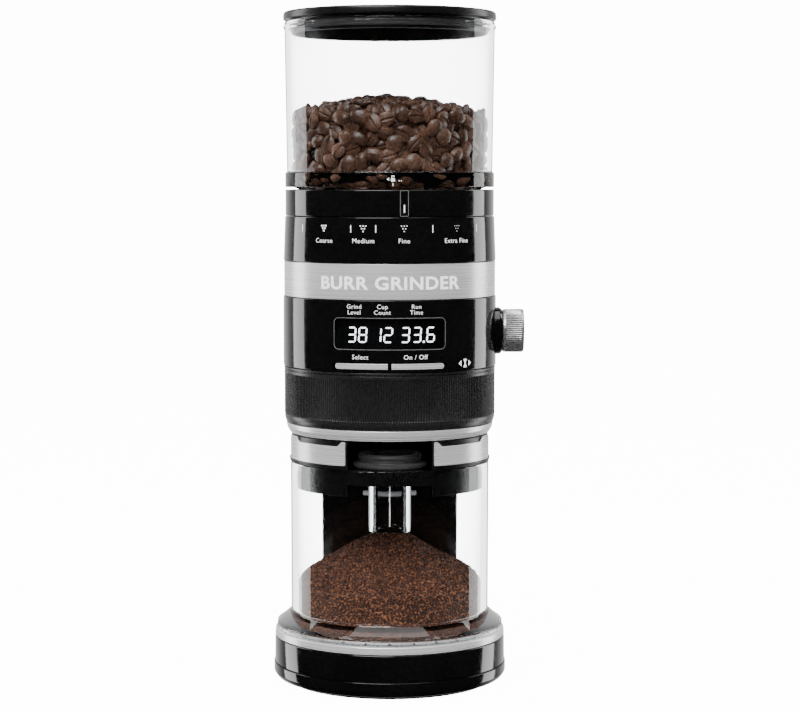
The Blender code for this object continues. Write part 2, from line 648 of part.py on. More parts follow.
def make_gearbox():
    cx, cy = cluster_centre()
    radius = CHASSIS_BORE - GAP
    for name, bottom in (("gearbox_lower_plate", LOWER_PLATE_Z), ("gearbox_upper_plate", UPPER_PLATE_Z)):
        top = bottom + PLATE_THICKNESS
        holes = [circle(BEARING_RADIUS + GAP), circle(CLUSTER_SHAFT_RADIUS + GAP, SMALL, (cx, cy))]
        if bottom == LOWER_PLATE_Z:
            holes.append(circle(MOTOR_SHAFT_RADIUS + 0.6, SMALL, (0, MOTOR_Y)))
        piece = plate(name, [circle(radius, ROUND)] + holes, bottom, top, "machined_steel")
        cut(piece,
            box(name + "_board_gap", (-radius, -radius - 5, bottom - 5),
                (radius, BOARD_BACK_Y + 0.5, top + 5)),
            box(name + "_duct_gap", (-DUCT_HALF_WIDTH - GAP, -radius - 5, bottom - 5),
                (DUCT_HALF_WIDTH + GAP, DUCT_BACK_Y + GAP, top + 5)))
        if bottom == LOWER_PLATE_Z:
            cut(piece, box("encoder_gap", (CHASSIS_BORE - 12, -7, bottom - 5),
                           (radius + 5, 7, top + 5)))
    for name, bottom in (("lower_bearing", LOWER_PLATE_Z), ("upper_bearing", UPPER_PLATE_Z)):
        turned(name, ring(BEARING_RADIUS, SHAFT_RADIUS + GAP, bottom, bottom + PLATE_THICKNESS),
               "machined_steel", FINE)
    rod("cluster_shaft", CLUSTER_SHAFT_RADIUS, LOWER_PLATE_Z, UPPER_PLATE_Z + PLATE_THICKNESS,
        "machined_steel", centre=(cx, cy, 0))
    for number, x in ((1, -36), (2, 38)):
        rod("gearbox_post_%d" % number, 3, LOWER_PLATE_Z + PLATE_THICKNESS + GAP, UPPER_PLATE_Z - GAP,
            "machined_steel", centre=(x, -20, 0))


def make_burr_drive():
    cx, cy = cluster_centre()
    towards_cluster = math.degrees(math.atan2(cy, cx))
    burr_top = BURR_Z + BURR_RIM_HEIGHT + BURR_CONE_HEIGHT
    shaft = rod("burr_shaft", SHAFT_RADIUS, LOWER_PLATE_Z - 2, burr_top + 3, "machined_steel")
    wheel = gear("drive_gear", DRIVE_TEETH, DRIVE_MODULE, towards_cluster, (0, 0), DRIVE_Z,
                 DRIVE_Z + GEAR_FACE, SHAFT_RADIUS + GAP, "gear_plastic")
    bore = SHAFT_RADIUS + GAP
    cone = turned("cone_burr", [(BURR_TOP_RADIUS, burr_top), (BURR_RADIUS, BURR_Z + BURR_RIM_HEIGHT),
                                (BURR_RADIUS, BURR_Z), (bore, BURR_Z), (bore, burr_top)],
                  "machined_steel", FINE)
    sweeper = plate("sweeper", [toothed(6, 14, CHAMBER_BORE - 1.3, 0, 0.5, 0.3), circle(bore, SMALL)],
                    SWEEPER_Z, SWEEPER_Z + SWEEPER_HEIGHT, "gear_plastic")
    carry(pivot("burr_axis", (0, 0, BURR_Z)), shaft, wheel, cone, sweeper)


def make_cluster():
    cx, cy = cluster_centre()
    towards_burr = math.degrees(math.atan2(cy, cx)) + 180
    towards_motor = math.degrees(math.atan2(MOTOR_Y - cy, -cx))
    bore = CLUSTER_SHAFT_RADIUS + GAP
    piece = gear("cluster_gear", CLUSTER_TEETH, CLUSTER_MODULE, towards_motor, (cx, cy), CLUSTER_Z,
                 CLUSTER_Z + GEAR_FACE, bore, "gear_plastic")
    small = gear("cluster_pinion", PINION_TEETH, DRIVE_MODULE, towards_burr + 180 / PINION_TEETH,
                 (cx, cy), DRIVE_Z, CLUSTER_Z + 1, bore)
    join(piece, small)
    carry(pivot("cluster_axis", (cx, cy, CLUSTER_Z)), piece)


def make_motor():
    cx, cy = cluster_centre()
    centre = (0, MOTOR_Y, 0)
    inner = MOTOR_RADIUS - MOTOR_WALL
    top, floor = MOTOR_Z + MOTOR_HEIGHT, MOTOR_Z + 2
    turned("motor_can", [(0, floor), (inner, floor), (inner, top), (MOTOR_RADIUS, top),
                         (MOTOR_RADIUS, MOTOR_Z), (0, MOTOR_Z)], "machined_steel", FINE, centre)
    for name, middle in (("motor_magnet_left", -90), ("motor_magnet_right", 90)):
        plate(name, [sector(inner - 5, inner - GAP, middle - 60, middle + 60, 8, centre[:2])],
              floor + 4, top - 6, "matte_black")
    rotor = turned("motor_rotor", ring(ROTOR_RADIUS, MOTOR_SHAFT_RADIUS + GAP, floor + 4, top - 6),
                   "copper", FINE, centre)
    shaft = rod("motor_shaft", MOTOR_SHAFT_RADIUS, floor + 1, CLUSTER_Z + GEAR_FACE + 1,
                "machined_steel", centre=centre)
    towards_cluster = math.degrees(math.atan2(cy - MOTOR_Y, cx))
    pinion = gear("motor_pinion", PINION_TEETH, CLUSTER_MODULE,
                  towards_cluster + 180 / PINION_TEETH, centre[:2], CLUSTER_Z,
                  CLUSTER_Z + GEAR_FACE, MOTOR_SHAFT_RADIUS + GAP, "brass")
    carry(pivot("motor_axis", centre), rotor, shaft, pinion)


def make_grinding_chamber():
    top = CHAMBER_Z + CHAMBER_HEIGHT
    chamber = turned("grind_chamber", [(CHAMBER_RADIUS, top), (CHAMBER_RADIUS, CHAMBER_Z),
                                       (SHAFT_RADIUS + 1, CHAMBER_Z), (SHAFT_RADIUS + 1, CHAMBER_FLOOR_Z),
                                       (CHAMBER_BORE, CHAMBER_FLOOR_Z), (CHAMBER_BORE, top)],
                     "gear_plastic", FINE)
    half = DUCT_HALF_WIDTH - DUCT_WALL - 1
    exit_z = CHAMBER_FLOOR_Z + 8
    exit_hole = box("chamber_exit", (-half, -CHAMBER_RADIUS - 5, CHAMBER_FLOOR_Z),
                    (half, -CHAMBER_BORE + 5, exit_z))
    cut(chamber, exit_hole)
    duct_top = exit_z + 4
    duct = box("chute_duct", (-DUCT_HALF_WIDTH, DUCT_FRONT_Y, CHASSIS_Z + GAP),
               (DUCT_HALF_WIDTH, DUCT_BACK_Y, duct_top), "matte_black")
    cut(duct,
        box("duct_bore", (-DUCT_HALF_WIDTH + DUCT_WALL, DUCT_FRONT_Y + DUCT_WALL, CHASSIS_Z - 5),
            (DUCT_HALF_WIDTH - DUCT_WALL, DUCT_BACK_Y - DUCT_WALL, duct_top - DUCT_WALL)),
        box("duct_inlet", (-half, DUCT_BACK_Y - DUCT_WALL - 1, CHAMBER_FLOOR_Z),
            (half, DUCT_BACK_Y + 5, exit_z)))


# ---------------------------------------------------------------- grind setting and hopper

def make_grind_ring():
    web_top = RING_Z + WEB_THICKNESS
    nut_z = CHAMBER_Z + CHAMBER_HEIGHT + 4
    piece = turned("grind_ring", [(RING_RADIUS, RING_TOP_Z), (RING_RADIUS, RING_Z), (NUT_RADIUS, RING_Z),
                                  (NUT_RADIUS, nut_z), (NUT_BORE, nut_z), (NUT_BORE, web_top),
                                  (RING_BORE, web_top), (RING_BORE, RING_TOP_Z)], "black_plastic")
    pointer = plate("pointer_tab", [sector(RING_RADIUS + GAP, RING_RADIUS + GAP + POINTER_THICKNESS,
                                           POINTER_ANGLE - POINTER_HALF_ANGLE,
                                           POINTER_ANGLE + POINTER_HALF_ANGLE, 2)],
                    RING_Z + 0.2, RING_TOP_Z - 0.2, "matte_black")
    shutter = plate("hopper_shutter", [circle(NUT_BORE - GAP), *gate_windows(0)], SHUTTER_Z,
                    SHUTTER_Z + GATE_THICKNESS, "matte_black")
    carry(pivot("grind_axis", (0, 0, RING_Z)), piece, pointer, shutter)

    carrier_top = SHUTTER_Z - 2
    burr_low = BURR_Z + BURR_RIM_HEIGHT + 3
    carrier = turned("burr_carrier", ring(CARRIER_RADIUS, CARRIER_RADIUS - CARRIER_WALL, burr_low,
                                          carrier_top), "gear_plastic", FINE)
    burr_high = burr_low + OUTER_BURR_HEIGHT
    burr = turned("outer_burr", [(OUTER_BURR_RADIUS, burr_high), (OUTER_BURR_RADIUS, burr_low),
                                 (outer_burr_bore(burr_low), burr_low),
                                 (outer_burr_bore(burr_high), burr_high)], "machined_steel", FINE)
    carry(pivot("carrier_axis", (0, 0, burr_low)), carrier, burr)


def outer_burr_bore(height):
    """Bore that follows the cone burr with an even clearance."""
    rise = height - BURR_Z - BURR_RIM_HEIGHT
    return BURR_RADIUS - (BURR_RADIUS - BURR_TOP_RADIUS) * rise / BURR_CONE_HEIGHT + BURR_CLEARANCE


def gate_windows(turn):
    """Four windows that line up when the hopper is locked."""
    return [sector(8, FUNNEL_RADIUS - 3, middle + turn - 20, middle + turn + 20, 5)
            for middle in (0, 90, 180, 270)]


def make_hopper():
    foot_bore = HOPPER_FOOT_RADIUS - HOPPER_WALL
    neck_z = HOPPER_Z - FUNNEL_DEPTH
    bowl = turned("hopper_bowl", [(HOPPER_TOP_RADIUS, BOWL_TOP_Z), (HOPPER_FOOT_RADIUS, BOWL_Z),
                                  (HOPPER_FLANGE_RADIUS, BOWL_Z), (HOPPER_FLANGE_RADIUS, HOPPER_Z),
                                  (RING_BORE - 1, HOPPER_Z), (FUNNEL_RADIUS + HOPPER_WALL, neck_z),
                                  (FUNNEL_RADIUS, neck_z), (FUNNEL_RADIUS, neck_z + 2),
                                  (foot_bore, BOWL_Z), (HOPPER_TOP_RADIUS - HOPPER_WALL, BOWL_TOP_Z)],
                  "clear_plastic")
    gate = plate("hopper_gate", [circle(FUNNEL_RADIUS + 1.5), *gate_windows(0)], GATE_Z,
                 GATE_Z + GATE_THICKNESS, "matte_black")
    carry(pivot("hopper_axis", (0, 0, HOPPER_Z)), bowl, gate)

    mouth = HOPPER_TOP_RADIUS - HOPPER_WALL
    plug = mouth - 1.7
    seal_z = BOWL_TOP_Z - SEAL_HEIGHT - 1
    top, rim = HOPPER_LID_Z + LID_RIM, HOPPER_LID_Z
    plug_z = rim - LID_PLUG
    lid = turned("hopper_lid", [(0, top), (LID_RADIUS - 1.4, top), (LID_RADIUS, top - 1.4),
                                (LID_RADIUS, rim), (plug, rim), (plug, plug_z), (plug - 2.2, plug_z),
                                (plug - 2.2, top - 3), (0, top - 3)], "black_plastic")
    seal = turned("lid_seal", ring(mouth - GAP - 0.1, plug + GAP, seal_z, seal_z + SEAL_HEIGHT), "rubber")
    carry(pivot("lid_axis", (0, 0, rim)), lid, seal)


# ---------------------------------------------------------------- grounds jar

def make_jar():
    floor = JAR_Z + JAR_FLOOR
    foot = JAR_RADIUS + JAR_FOOT_FLARE
    jar = turned("grounds_jar", [(0, floor), (JAR_RADIUS - JAR_WALL, floor),
                                 (JAR_RADIUS - JAR_WALL, JAR_RIM_Z), (JAR_RADIUS, JAR_RIM_Z),
                                 (JAR_RADIUS - 0.2, floor + 2), (foot - 2, JAR_Z + 3.6),
                                 (foot, JAR_Z + 1.5), (foot, JAR_Z), (0, JAR_Z)], "clear_plastic")
    carry(pivot("jar_axis", (0, 0, JAR_Z)), jar)


def make_jar_lid():
    skirt = JAR_RADIUS - JAR_WALL - 0.4
    inner = skirt - 2
    shelf_top = SHELF_TOP_Z
    edge = LID_TOP_Z - 0.6
    lid = turned("jar_lid", [(0, LID_TOP_Z), (JAR_RADIUS - 0.6, LID_TOP_Z), (JAR_RADIUS, edge),
                             (JAR_RADIUS, LID_Z), (skirt, LID_Z), (skirt, LID_Z - LID_SKIRT),
                             (inner, LID_Z - LID_SKIRT), (inner, shelf_top - LID_SHELF),
                             (0, shelf_top - LID_SHELF)], "black_plastic")
    room = rod("lid_room", inner, shelf_top, LID_TOP_Z - LID_TOP, steps=ROUND)
    flange = boot_flange_radius()
    notch = box("lid_notch", (-NOTCH_HALF_WIDTH, -JAR_RADIUS - 5, LID_Z - GAP),
                (NOTCH_HALF_WIDTH, SPOUT_Y + flange + 1, LID_TOP_Z + 5))
    spout_hole = rod("spout_hole", SPOUT_RADIUS + 0.8, shelf_top - 10, shelf_top + 5, steps=FINE,
                     centre=(0, SPOUT_Y, 0))
    cut(lid, room, notch, spout_hole)

    trim_inner = JAR_RADIUS + GAP
    trim_low, trim_high = LID_Z + 2, LID_TOP_Z - 3
    trims = []
    for name, angles in (("collar_trim_left", (-TRIM_TO, -TRIM_FROM)),
                         ("collar_trim_right", (TRIM_FROM, TRIM_TO))):
        trims.append(plate(name, [sector(trim_inner, trim_inner + TRIM_THICKNESS, *angles)],
                           trim_low, trim_high, "brushed_steel"))

    boot_z = shelf_top + GAP
    boot_top = boot_z + BOOT_HEIGHT
    pocket = SPOUT_RADIUS + SPOUT_LIP + GAP
    upper = pocket + BOOT_WALL
    ledge = boot_z + 3.8
    boot = turned("chute_boot", [(upper, boot_top), (upper - 0.5, boot_z + 5.4), (flange, boot_z + 4.7),
                                 (flange, boot_z), (SPOUT_RADIUS + 0.5, boot_z),
                                 (SPOUT_RADIUS + 0.5, ledge), (pocket, ledge), (pocket, boot_top)],
                  "rubber", FINE, centre=(0, SPOUT_Y, 0))
    keep_inside(boot, rod("skirt_room", inner - GAP, boot_z - 5, boot_top + 5, steps=ROUND))
    lip_z = ledge + GAP
    spout_top = lip_z + 2.1
    spout = turned("clear_spout", [(SPOUT_RADIUS + SPOUT_LIP, spout_top), (SPOUT_RADIUS + SPOUT_LIP, lip_z),
                                   (SPOUT_RADIUS, lip_z), (SPOUT_RADIUS, spout_top - SPOUT_LENGTH),
                                   (SPOUT_RADIUS - SPOUT_WALL, spout_top - SPOUT_LENGTH),
                                   (SPOUT_RADIUS - SPOUT_WALL, spout_top)], "clear_plastic", FINE,
                   centre=(0, SPOUT_Y, 0))
    carry(pivot("jar_lid_axis", (0, 0, LID_Z)), lid, *trims, boot, spout)


def boot_flange_radius():
    return SPOUT_RADIUS + SPOUT_LIP + BOOT_WALL + 2.7


clear_scene()
PARTS = new_collection(OBJECT)
CUTTERS = new_collection("cutters")
make_base()
make_spine()
make_head_shells()
make_control_ring()
make_display()
make_buttons()
make_knob()
make_gearbox()
make_burr_drive()
make_cluster()
make_motor()
make_grinding_chamber()
make_grind_ring()
make_hopper()
make_jar()
make_jar_lid()
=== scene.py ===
import functools
import math

import bmesh
import bpy
import numpy as np
from mathutils import Euler, Matrix, Vector, noise

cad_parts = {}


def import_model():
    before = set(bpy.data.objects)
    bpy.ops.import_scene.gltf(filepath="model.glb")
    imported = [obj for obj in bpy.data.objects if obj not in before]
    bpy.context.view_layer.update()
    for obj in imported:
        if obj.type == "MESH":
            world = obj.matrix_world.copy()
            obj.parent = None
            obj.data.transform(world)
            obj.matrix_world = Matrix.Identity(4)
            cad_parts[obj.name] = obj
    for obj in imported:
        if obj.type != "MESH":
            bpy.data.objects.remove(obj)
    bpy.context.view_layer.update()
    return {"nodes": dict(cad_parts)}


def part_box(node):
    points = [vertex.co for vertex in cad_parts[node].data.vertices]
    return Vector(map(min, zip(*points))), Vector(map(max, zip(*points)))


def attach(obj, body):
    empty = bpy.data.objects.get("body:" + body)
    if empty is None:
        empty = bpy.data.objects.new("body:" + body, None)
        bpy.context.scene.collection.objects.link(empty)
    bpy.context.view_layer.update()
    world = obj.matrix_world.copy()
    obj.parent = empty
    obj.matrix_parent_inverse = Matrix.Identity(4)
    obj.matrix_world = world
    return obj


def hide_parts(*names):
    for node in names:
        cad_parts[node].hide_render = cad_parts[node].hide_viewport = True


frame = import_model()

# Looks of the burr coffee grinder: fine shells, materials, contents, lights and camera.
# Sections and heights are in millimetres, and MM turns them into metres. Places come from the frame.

MM = 0.001
STEPS = 180                   # steps round the large turned shells
FINE_EDGE = 5                 # segments of a rounded corner
SMOOTH_ANGLE = math.radians(34)
TILT_TO_X = Matrix.Rotation(math.pi / 2, 4, "Y")
TILT_TO_Y = Matrix.Rotation(-math.pi / 2, 4, "X")

SPINE_Y = 60.0                # middle of the round back
BASE_REAR = 56.0              # radius of the base's back
ARM_HALF = 30.3               # half width of the room for the head's arm
HEAD_BORE = 57.8              # radius inside the head's rings
DISPLAY_BORE = 61.3           # radius inside the display shell's wall
SCALE_BORE = 54.5             # radius inside the scale shell's top
SCALE_TAPER = 0.95            # how much narrower the scale shell is at its top
WINDOW_ANGLE = 30.5           # degrees from the front to the window's edge
POINTER_ANGLE = 7.7           # degrees from the front to the pointer tab
GRIP_RIBS = 250
KNOB_RIDGES = 64
BOWL_FOOT = 61.3              # outer radii of the clear bowl
BOWL_TOP = 62.5
BOWL_FLANGE = 62.4
BOWL_INSIDE = 59.1
BOWL_THROAT = 27.0
BOWL_FUNNEL_TOP = 57.3
JAR_WALL = 59.6               # outer radius of the jar and of its lid
FOOT_RIBS = 30
NOTCH_HALF = 24.5             # half width of the notch in the jar's lid
SPOUT_WALL = 12.4
SPOUT_HOLE = 13.2

# Angle from the front in degrees, dot radius and dot pitch of each grind name.
GRIND_NAMES = {
    "Coarse": (-37.1, 0.52, 1.5),
    "Medium": (-14.0, 0.42, 1.6),
    "Fine": (7.6, 0.34, 1.6),
    "Extra Fine": (38.0, 0.2, 1.6),
}
GRIND_LINES = (-53.8, -20.8, -7.3, 23.1, 53.4)

BEAN_SIZE = (11.4, 8.8, 6.6)
BEAN_SPACING = 8.1
BEANS = 980
BEAN_KINDS = 6
BEAN_FLOOR = 293.0            # lowest middle of a bean
BEANS_TOP = 347.5             # height of the beans at the axis
BEANS_DROP = 11.0             # how much lower they lie at the glass
BEAN_ROUNDS = 70              # rounds of pushing beans apart

HEAP_RADIUS = 56.6
HEAP_RINGS = 78
GRAINS = 5000

WHITE = 14.0                  # brightness of the sweep and backdrop for the eye
SOFT_LIGHT = 0.75             # brightness of the world as a light
MIRROR_FRONT = 0.005          # brightness of the world in mirror images, in front and behind
MIRROR_BACK = 1.2
CAMERA_PLACE = (0, -1.3218, 0.301)
CAMERA_TIP = 85.44            # degrees up from looking straight down
CAMERA_LENS = 99.18
CAMERA_SHIFT = 0.0129


# ---------------------------------------------------------------- measuring the frame

@functools.cache
def corners_of(node):
    lowest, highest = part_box(node)
    return lowest / MM, highest / MM


def low(node):
    return corners_of(node)[0]


def high(node):
    return corners_of(node)[1]


def heights(node):
    return low(node).z, high(node).z


def middle_z(node):
    return sum(heights(node)) / 2


def radius(node):
    """Outer radius of a piece that is round about the head's axis."""
    return high(node).x


def round_size(node):
    return radius(node), *heights(node)


def upright(size):
    """Surface of a straight cylinder: the same radius at every height."""
    return lambda z: size


def round_length(degrees, size):
    """Length round a surface for an angle from the front."""
    return math.radians(degrees) * size


# ---------------------------------------------------------------- shapes

def rounded(corners, closed=True):
    """Corner list with fillets: a corner is (across, up) or (across, up, fillet)."""
    points = []
    count = len(corners)
    for i, corner in enumerate(corners):
        here = Vector(corner[:2])
        ends = not closed and i in (0, count - 1)
        if len(corner) < 3 or ends:
            points.append(here)
            continue
        before = Vector(corners[i - 1][:2]) - here
        after = Vector(corners[(i + 1) % count][:2]) - here
        half = before.angle(after) / 2
        reach = min(corner[2] / math.tan(half), 0.48 * before.length, 0.48 * after.length)
        fillet = reach * math.tan(half)
        centre = here + (before.normalized() + after.normalized()).normalized() * fillet / math.sin(half)
        first = here + before.normalized() * reach - centre
        last = here + after.normalized() * reach - centre
        for k in range(FINE_EDGE + 1):
            points.append(centre + first.slerp(last, k / FINE_EDGE) * fillet)
    return points


def as_mesh(name, bm):
    mesh = bpy.data.meshes.new(name)
    bm.to_mesh(mesh)
    bm.free()
    return mesh


def as_piece(name, bm, place=None):
    """Finish a bmesh as a smooth shaded object at the origin."""
    if place:
        bmesh.ops.transform(bm, matrix=place, verts=bm.verts)
    mesh = as_mesh(name, bm)
    mesh.shade_smooth()
    mesh.set_sharp_from_angle(angle=SMOOTH_ANGLE)
    piece = bpy.data.objects.new(name, mesh)
    bpy.context.scene.collection.objects.link(piece)
    return piece


def spun(corners, steps=STEPS):
    """Bmesh of a section turned about Z; a section that starts on the axis isn't closed."""
    bm = bmesh.new()
    closed = corners[0][0] > 0
    points = rounded(corners, closed)
    verts = [bm.verts.new((p.x * MM, 0, p.y * MM)) for p in points]
    edges = [bm.edges.new(pair) for pair in zip(verts, verts[1:])]
    if closed:
        edges.append(bm.edges.new((verts[-1], verts[0])))
    bmesh.ops.spin(bm, geom=verts + edges, cent=(0, 0, 0), axis=(0, 0, 1), angle=2 * math.pi,
                   steps=steps, use_merge=True)
    bmesh.ops.remove_doubles(bm, verts=bm.verts, dist=1e-7)
    bmesh.ops.recalc_face_normals(bm, faces=bm.faces)
    return bm


def turned(name, corners, steps=STEPS, place=None):
    return as_piece(name, spun(corners, steps), place)


def ribbed(name, corners, ribs, depth, inside, per_rib=6, place=None, outer=0):
    """Turned piece whose outer side is cut into ribs where inside(height) gives a share of the depth."""
    bm = spun(corners, ribs * per_rib)
    for vert in bm.verts:
        across = math.hypot(vert.co.x, vert.co.y) / MM
        share = inside(vert.co.z / MM) if across > outer else 0
        if share:
            wave = 0.5 - 0.5 * math.cos(ribs * math.atan2(vert.co.y, vert.co.x))
            scale = 1 - share * depth * wave / across
            vert.co.x *= scale
            vert.co.y *= scale
    return as_piece(name, bm, place)


def layered(name, outline, section):
    """Solid from outlines stacked by (inset, height) points, filled at both ends."""
    bm = bmesh.new()
    loops = []
    for point in rounded(section, closed=False):
        verts = [bm.verts.new((x * MM, y * MM, point.y * MM)) for x, y in outline(point.x)]
        loops.append([bm.edges.new((verts[i - 1], verts[i])) for i in range(len(verts))])
    for lower, upper in zip(loops, loops[1:]):
        bmesh.ops.bridge_loops(bm, edges=lower + upper)
    bmesh.ops.holes_fill(bm, edges=loops[0] + loops[-1], sides=0)
    bmesh.ops.recalc_face_normals(bm, faces=bm.faces)
    return as_piece(name, bm)


def block(name, low_corner, high_corner, edge=0.4):
    """Box with softly rounded edges."""
    bm = bmesh.new()
    size = Vector(high_corner) - Vector(low_corner)
    middle = (Vector(high_corner) + Vector(low_corner)) / 2
    bmesh.ops.create_cube(bm, size=1)
    bmesh.ops.scale(bm, verts=bm.verts, vec=size * MM)
    bmesh.ops.translate(bm, verts=bm.verts, vec=middle * MM)
    if edge:
        bmesh.ops.bevel(bm, geom=bm.edges[:], offset=edge * MM, segments=3, profile=0.5,
                        affect="EDGES", material=-1)
    return as_piece(name, bm)


def bent(bm, surface, rear, front, step=1.6):
    """Give flat shapes in the XZ plane a thickness and bend them round the head's axis.

    x is length round the surface, and surface(height) is the radius there. Normals are found while
    the shape is flat and then turned over, because bending turns the shape inside out.
    """
    across = [vert.co.x for vert in bm.verts]
    cut = math.floor(min(across) / step) * step
    while cut < max(across):
        bmesh.ops.bisect_plane(bm, geom=bm.verts[:] + bm.edges[:] + bm.faces[:], plane_co=(cut, 0, 0),
                               plane_no=(1, 0, 0), dist=1e-5)
        cut += step
    grown = bmesh.ops.extrude_face_region(bm, geom=bm.faces[:])
    moved = [item for item in grown["geom"] if isinstance(item, bmesh.types.BMVert)]
    bmesh.ops.translate(bm, verts=moved, vec=(0, front - rear, 0))
    bmesh.ops.recalc_face_normals(bm, faces=bm.faces)
    for vert in bm.verts:
        base = surface(vert.co.z)
        angle = vert.co.x / base
        depth = base + rear + vert.co.y
        vert.co = Vector((depth * math.sin(angle), -depth * math.cos(angle), vert.co.z)) * MM
    bmesh.ops.reverse_faces(bm, faces=bm.faces)
    return bm


def flat_shapes(outlines):
    """Bmesh with one face for each (x, height) outline."""
    bm = bmesh.new()
    for outline in outlines:
        bm.faces.new([bm.verts.new((x, 0, z)) for x, z in outline])
    return bm


def wrapped(name, outlines, surface, rear, front):
    return as_piece(name, bent(flat_shapes(outlines), surface, rear, front))


def carve(piece, *cutters):
    """Cut other pieces out of this one, and remove them."""
    for cutter in cutters:
        change = piece.modifiers.new("Cut", "BOOLEAN")
        change.operation = "DIFFERENCE"
        change.object = cutter
    shown = piece.evaluated_get(bpy.context.evaluated_depsgraph_get())
    mesh = bpy.data.meshes.new_from_object(shown)
    piece.modifiers.clear()
    piece.data = mesh
    mesh.shade_smooth()
    mesh.set_sharp_from_angle(angle=SMOOTH_ANGLE)
    for cutter in cutters:
        bpy.data.objects.remove(cutter)
    return piece


def soft_edge(piece, width):
    """Round the sharp edges of a thin wrapped piece."""
    soften = piece.modifiers.new("Soft edge", "BEVEL")
    soften.width = width * MM
    soften.segments = 3
    soften.limit_method = "ANGLE"
    soften.angle_limit = math.radians(50)


def bar(left, right, bottom, top, corner):
    """Outline of a bar with rounded corners."""
    return rounded([(left, bottom, corner), (right, bottom, corner), (right, top, corner),
                    (left, top, corner)])


def disc(x, z, size, count=14):
    turns = [2 * math.pi * i / count for i in range(count)]
    return [(x + size * math.cos(turn), z + size * math.sin(turn)) for turn in turns]


def words(text, size, x, z, thick=0.0):
    """Bmesh of plain lettering centred on x, with its feet at height z."""
    curve = bpy.data.curves.new("words", "FONT")
    curve.body = text
    curve.size = size
    curve.align_x = "CENTER"
    curve.offset = thick
    curve.space_character = 1.08
    curve.resolution_u = 3
    guide = bpy.data.objects.new("words", curve)
    bpy.context.scene.collection.objects.link(guide)
    shown = guide.evaluated_get(bpy.context.evaluated_depsgraph_get())
    mesh = bpy.data.meshes.new_from_object(shown)
    bpy.data.objects.remove(guide)
    bm = bmesh.new()
    bm.from_mesh(mesh)
    bmesh.ops.remove_doubles(bm, verts=bm.verts, dist=1e-4)
    for vert in bm.verts:
        vert.co = (x + vert.co.x, 0, z + vert.co.y)
    return bm


def printed(name, parts, surface, proud=0.05):
    """One printed layer from several flat bmeshes."""
    whole = bmesh.new()
    for part in parts:
        mesh = as_mesh("part", part)
        whole.from_mesh(mesh)
        bpy.data.meshes.remove(mesh)
    return as_piece(name, bent(whole, surface, -0.02, proud))


# ---------------------------------------------------------------- material helpers

class Shader:
    """Material with a Principled shader, and short ways to add nodes to it."""

    def __init__(self, name, **settings):
        self.material = bpy.data.materials.new(name)
        self.material.use_nodes = True
        self.tree = self.material.node_tree
        self.nodes = self.tree.nodes
        self.links = self.tree.links
        self.main = self.nodes["Principled BSDF"]
        for key, value in settings.items():
            self.main.inputs[key.replace("_", " ")].default_value = value

    def add(self, kind, **values):
        node = self.nodes.new(kind)
        for key, value in values.items():
            setattr(node, key, value)
        return node

    def group(self, tree, **values):
        node = self.add("ShaderNodeGroup", node_tree=tree)
        for key, value in values.items():
            node.inputs[key.replace("_", " ")].default_value = value
        self.links.new(self.add("ShaderNodeTexCoord").outputs["Object"], node.inputs["Vector"])
        return node

    def span(self, source, target, first, last):
        """Send a 0 to 1 mask to a socket of the shader as values from first to last."""
        remap = self.add("ShaderNodeMapRange")
        remap.inputs["To Min"].default_value = first
        remap.inputs["To Max"].default_value = last
        self.links.new(source, remap.inputs["Value"])
        self.links.new(remap.outputs["Result"], self.main.inputs[target])

    def colours(self, source, *stops):
        """Send a mask to Base Color through colour stops of (place, colour)."""
        ramp = self.add("ShaderNodeValToRGB")
        while len(ramp.color_ramp.elements) < len(stops):
            ramp.color_ramp.elements.new(0.5)
        for element, (place, colour) in zip(ramp.color_ramp.elements, stops):
            element.position = place
            element.color = (*colour, 1)
        self.links.new(source, ramp.inputs["Fac"])
        self.links.new(ramp.outputs["Color"], self.main.inputs["Base Color"])

    def smudged(self, scale, dark, light, rough):
        """Handling marks that change the colour from dark to light, and the roughness with it."""
        marks = self.group(SMUDGES, Scale=scale).outputs["Mask"]
        self.colours(marks, (0.0, dark), (1.0, light))
        self.span(marks, "Roughness", *rough)

    def grained(self, scale, distance, strength=1.0):
        self.bump(self.group(GRAIN, Scale=scale).outputs["Mask"], distance, strength)

    def bump(self, source, distance, strength=1.0):
        node = self.add("ShaderNodeBump")
        node.inputs["Distance"].default_value = distance * MM
        node.inputs["Strength"].default_value = strength
        self.links.new(source, node.inputs["Height"])
        self.links.new(node.outputs["Normal"], self.main.inputs["Normal"])


def maths(tree, operation, first, second, kind="ShaderNodeMath", clamp=False):
    """Maths node on two sockets or numbers."""
    node = tree.nodes.new(kind)
    node.operation = operation
    if clamp:
        node.use_clamp = True
    for socket, value in zip(node.inputs, (first, second)):
        if isinstance(value, bpy.types.NodeSocket):
            tree.links.new(value, socket)
        else:
            socket.default_value = value
    return node.outputs[0]


def noise_group(name, inputs, build):
    """Node group with a Vector, named numbers in and a Mask out."""
    tree = bpy.data.node_groups.new(name, "ShaderNodeTree")
    tree.interface.new_socket("Vector", in_out="INPUT", socket_type="NodeSocketVector")
    for label, value in inputs.items():
        kind = "NodeSocketVector" if isinstance(value, tuple) else "NodeSocketFloat"
        socket = tree.interface.new_socket(label, in_out="INPUT", socket_type=kind)
        socket.default_value = value
    tree.interface.new_socket("Mask", in_out="OUTPUT", socket_type="NodeSocketFloat")
    source = tree.nodes.new("NodeGroupInput")
    target = tree.nodes.new("NodeGroupOutput")
    tree.links.new(build(tree, source), target.inputs["Mask"])
    return tree


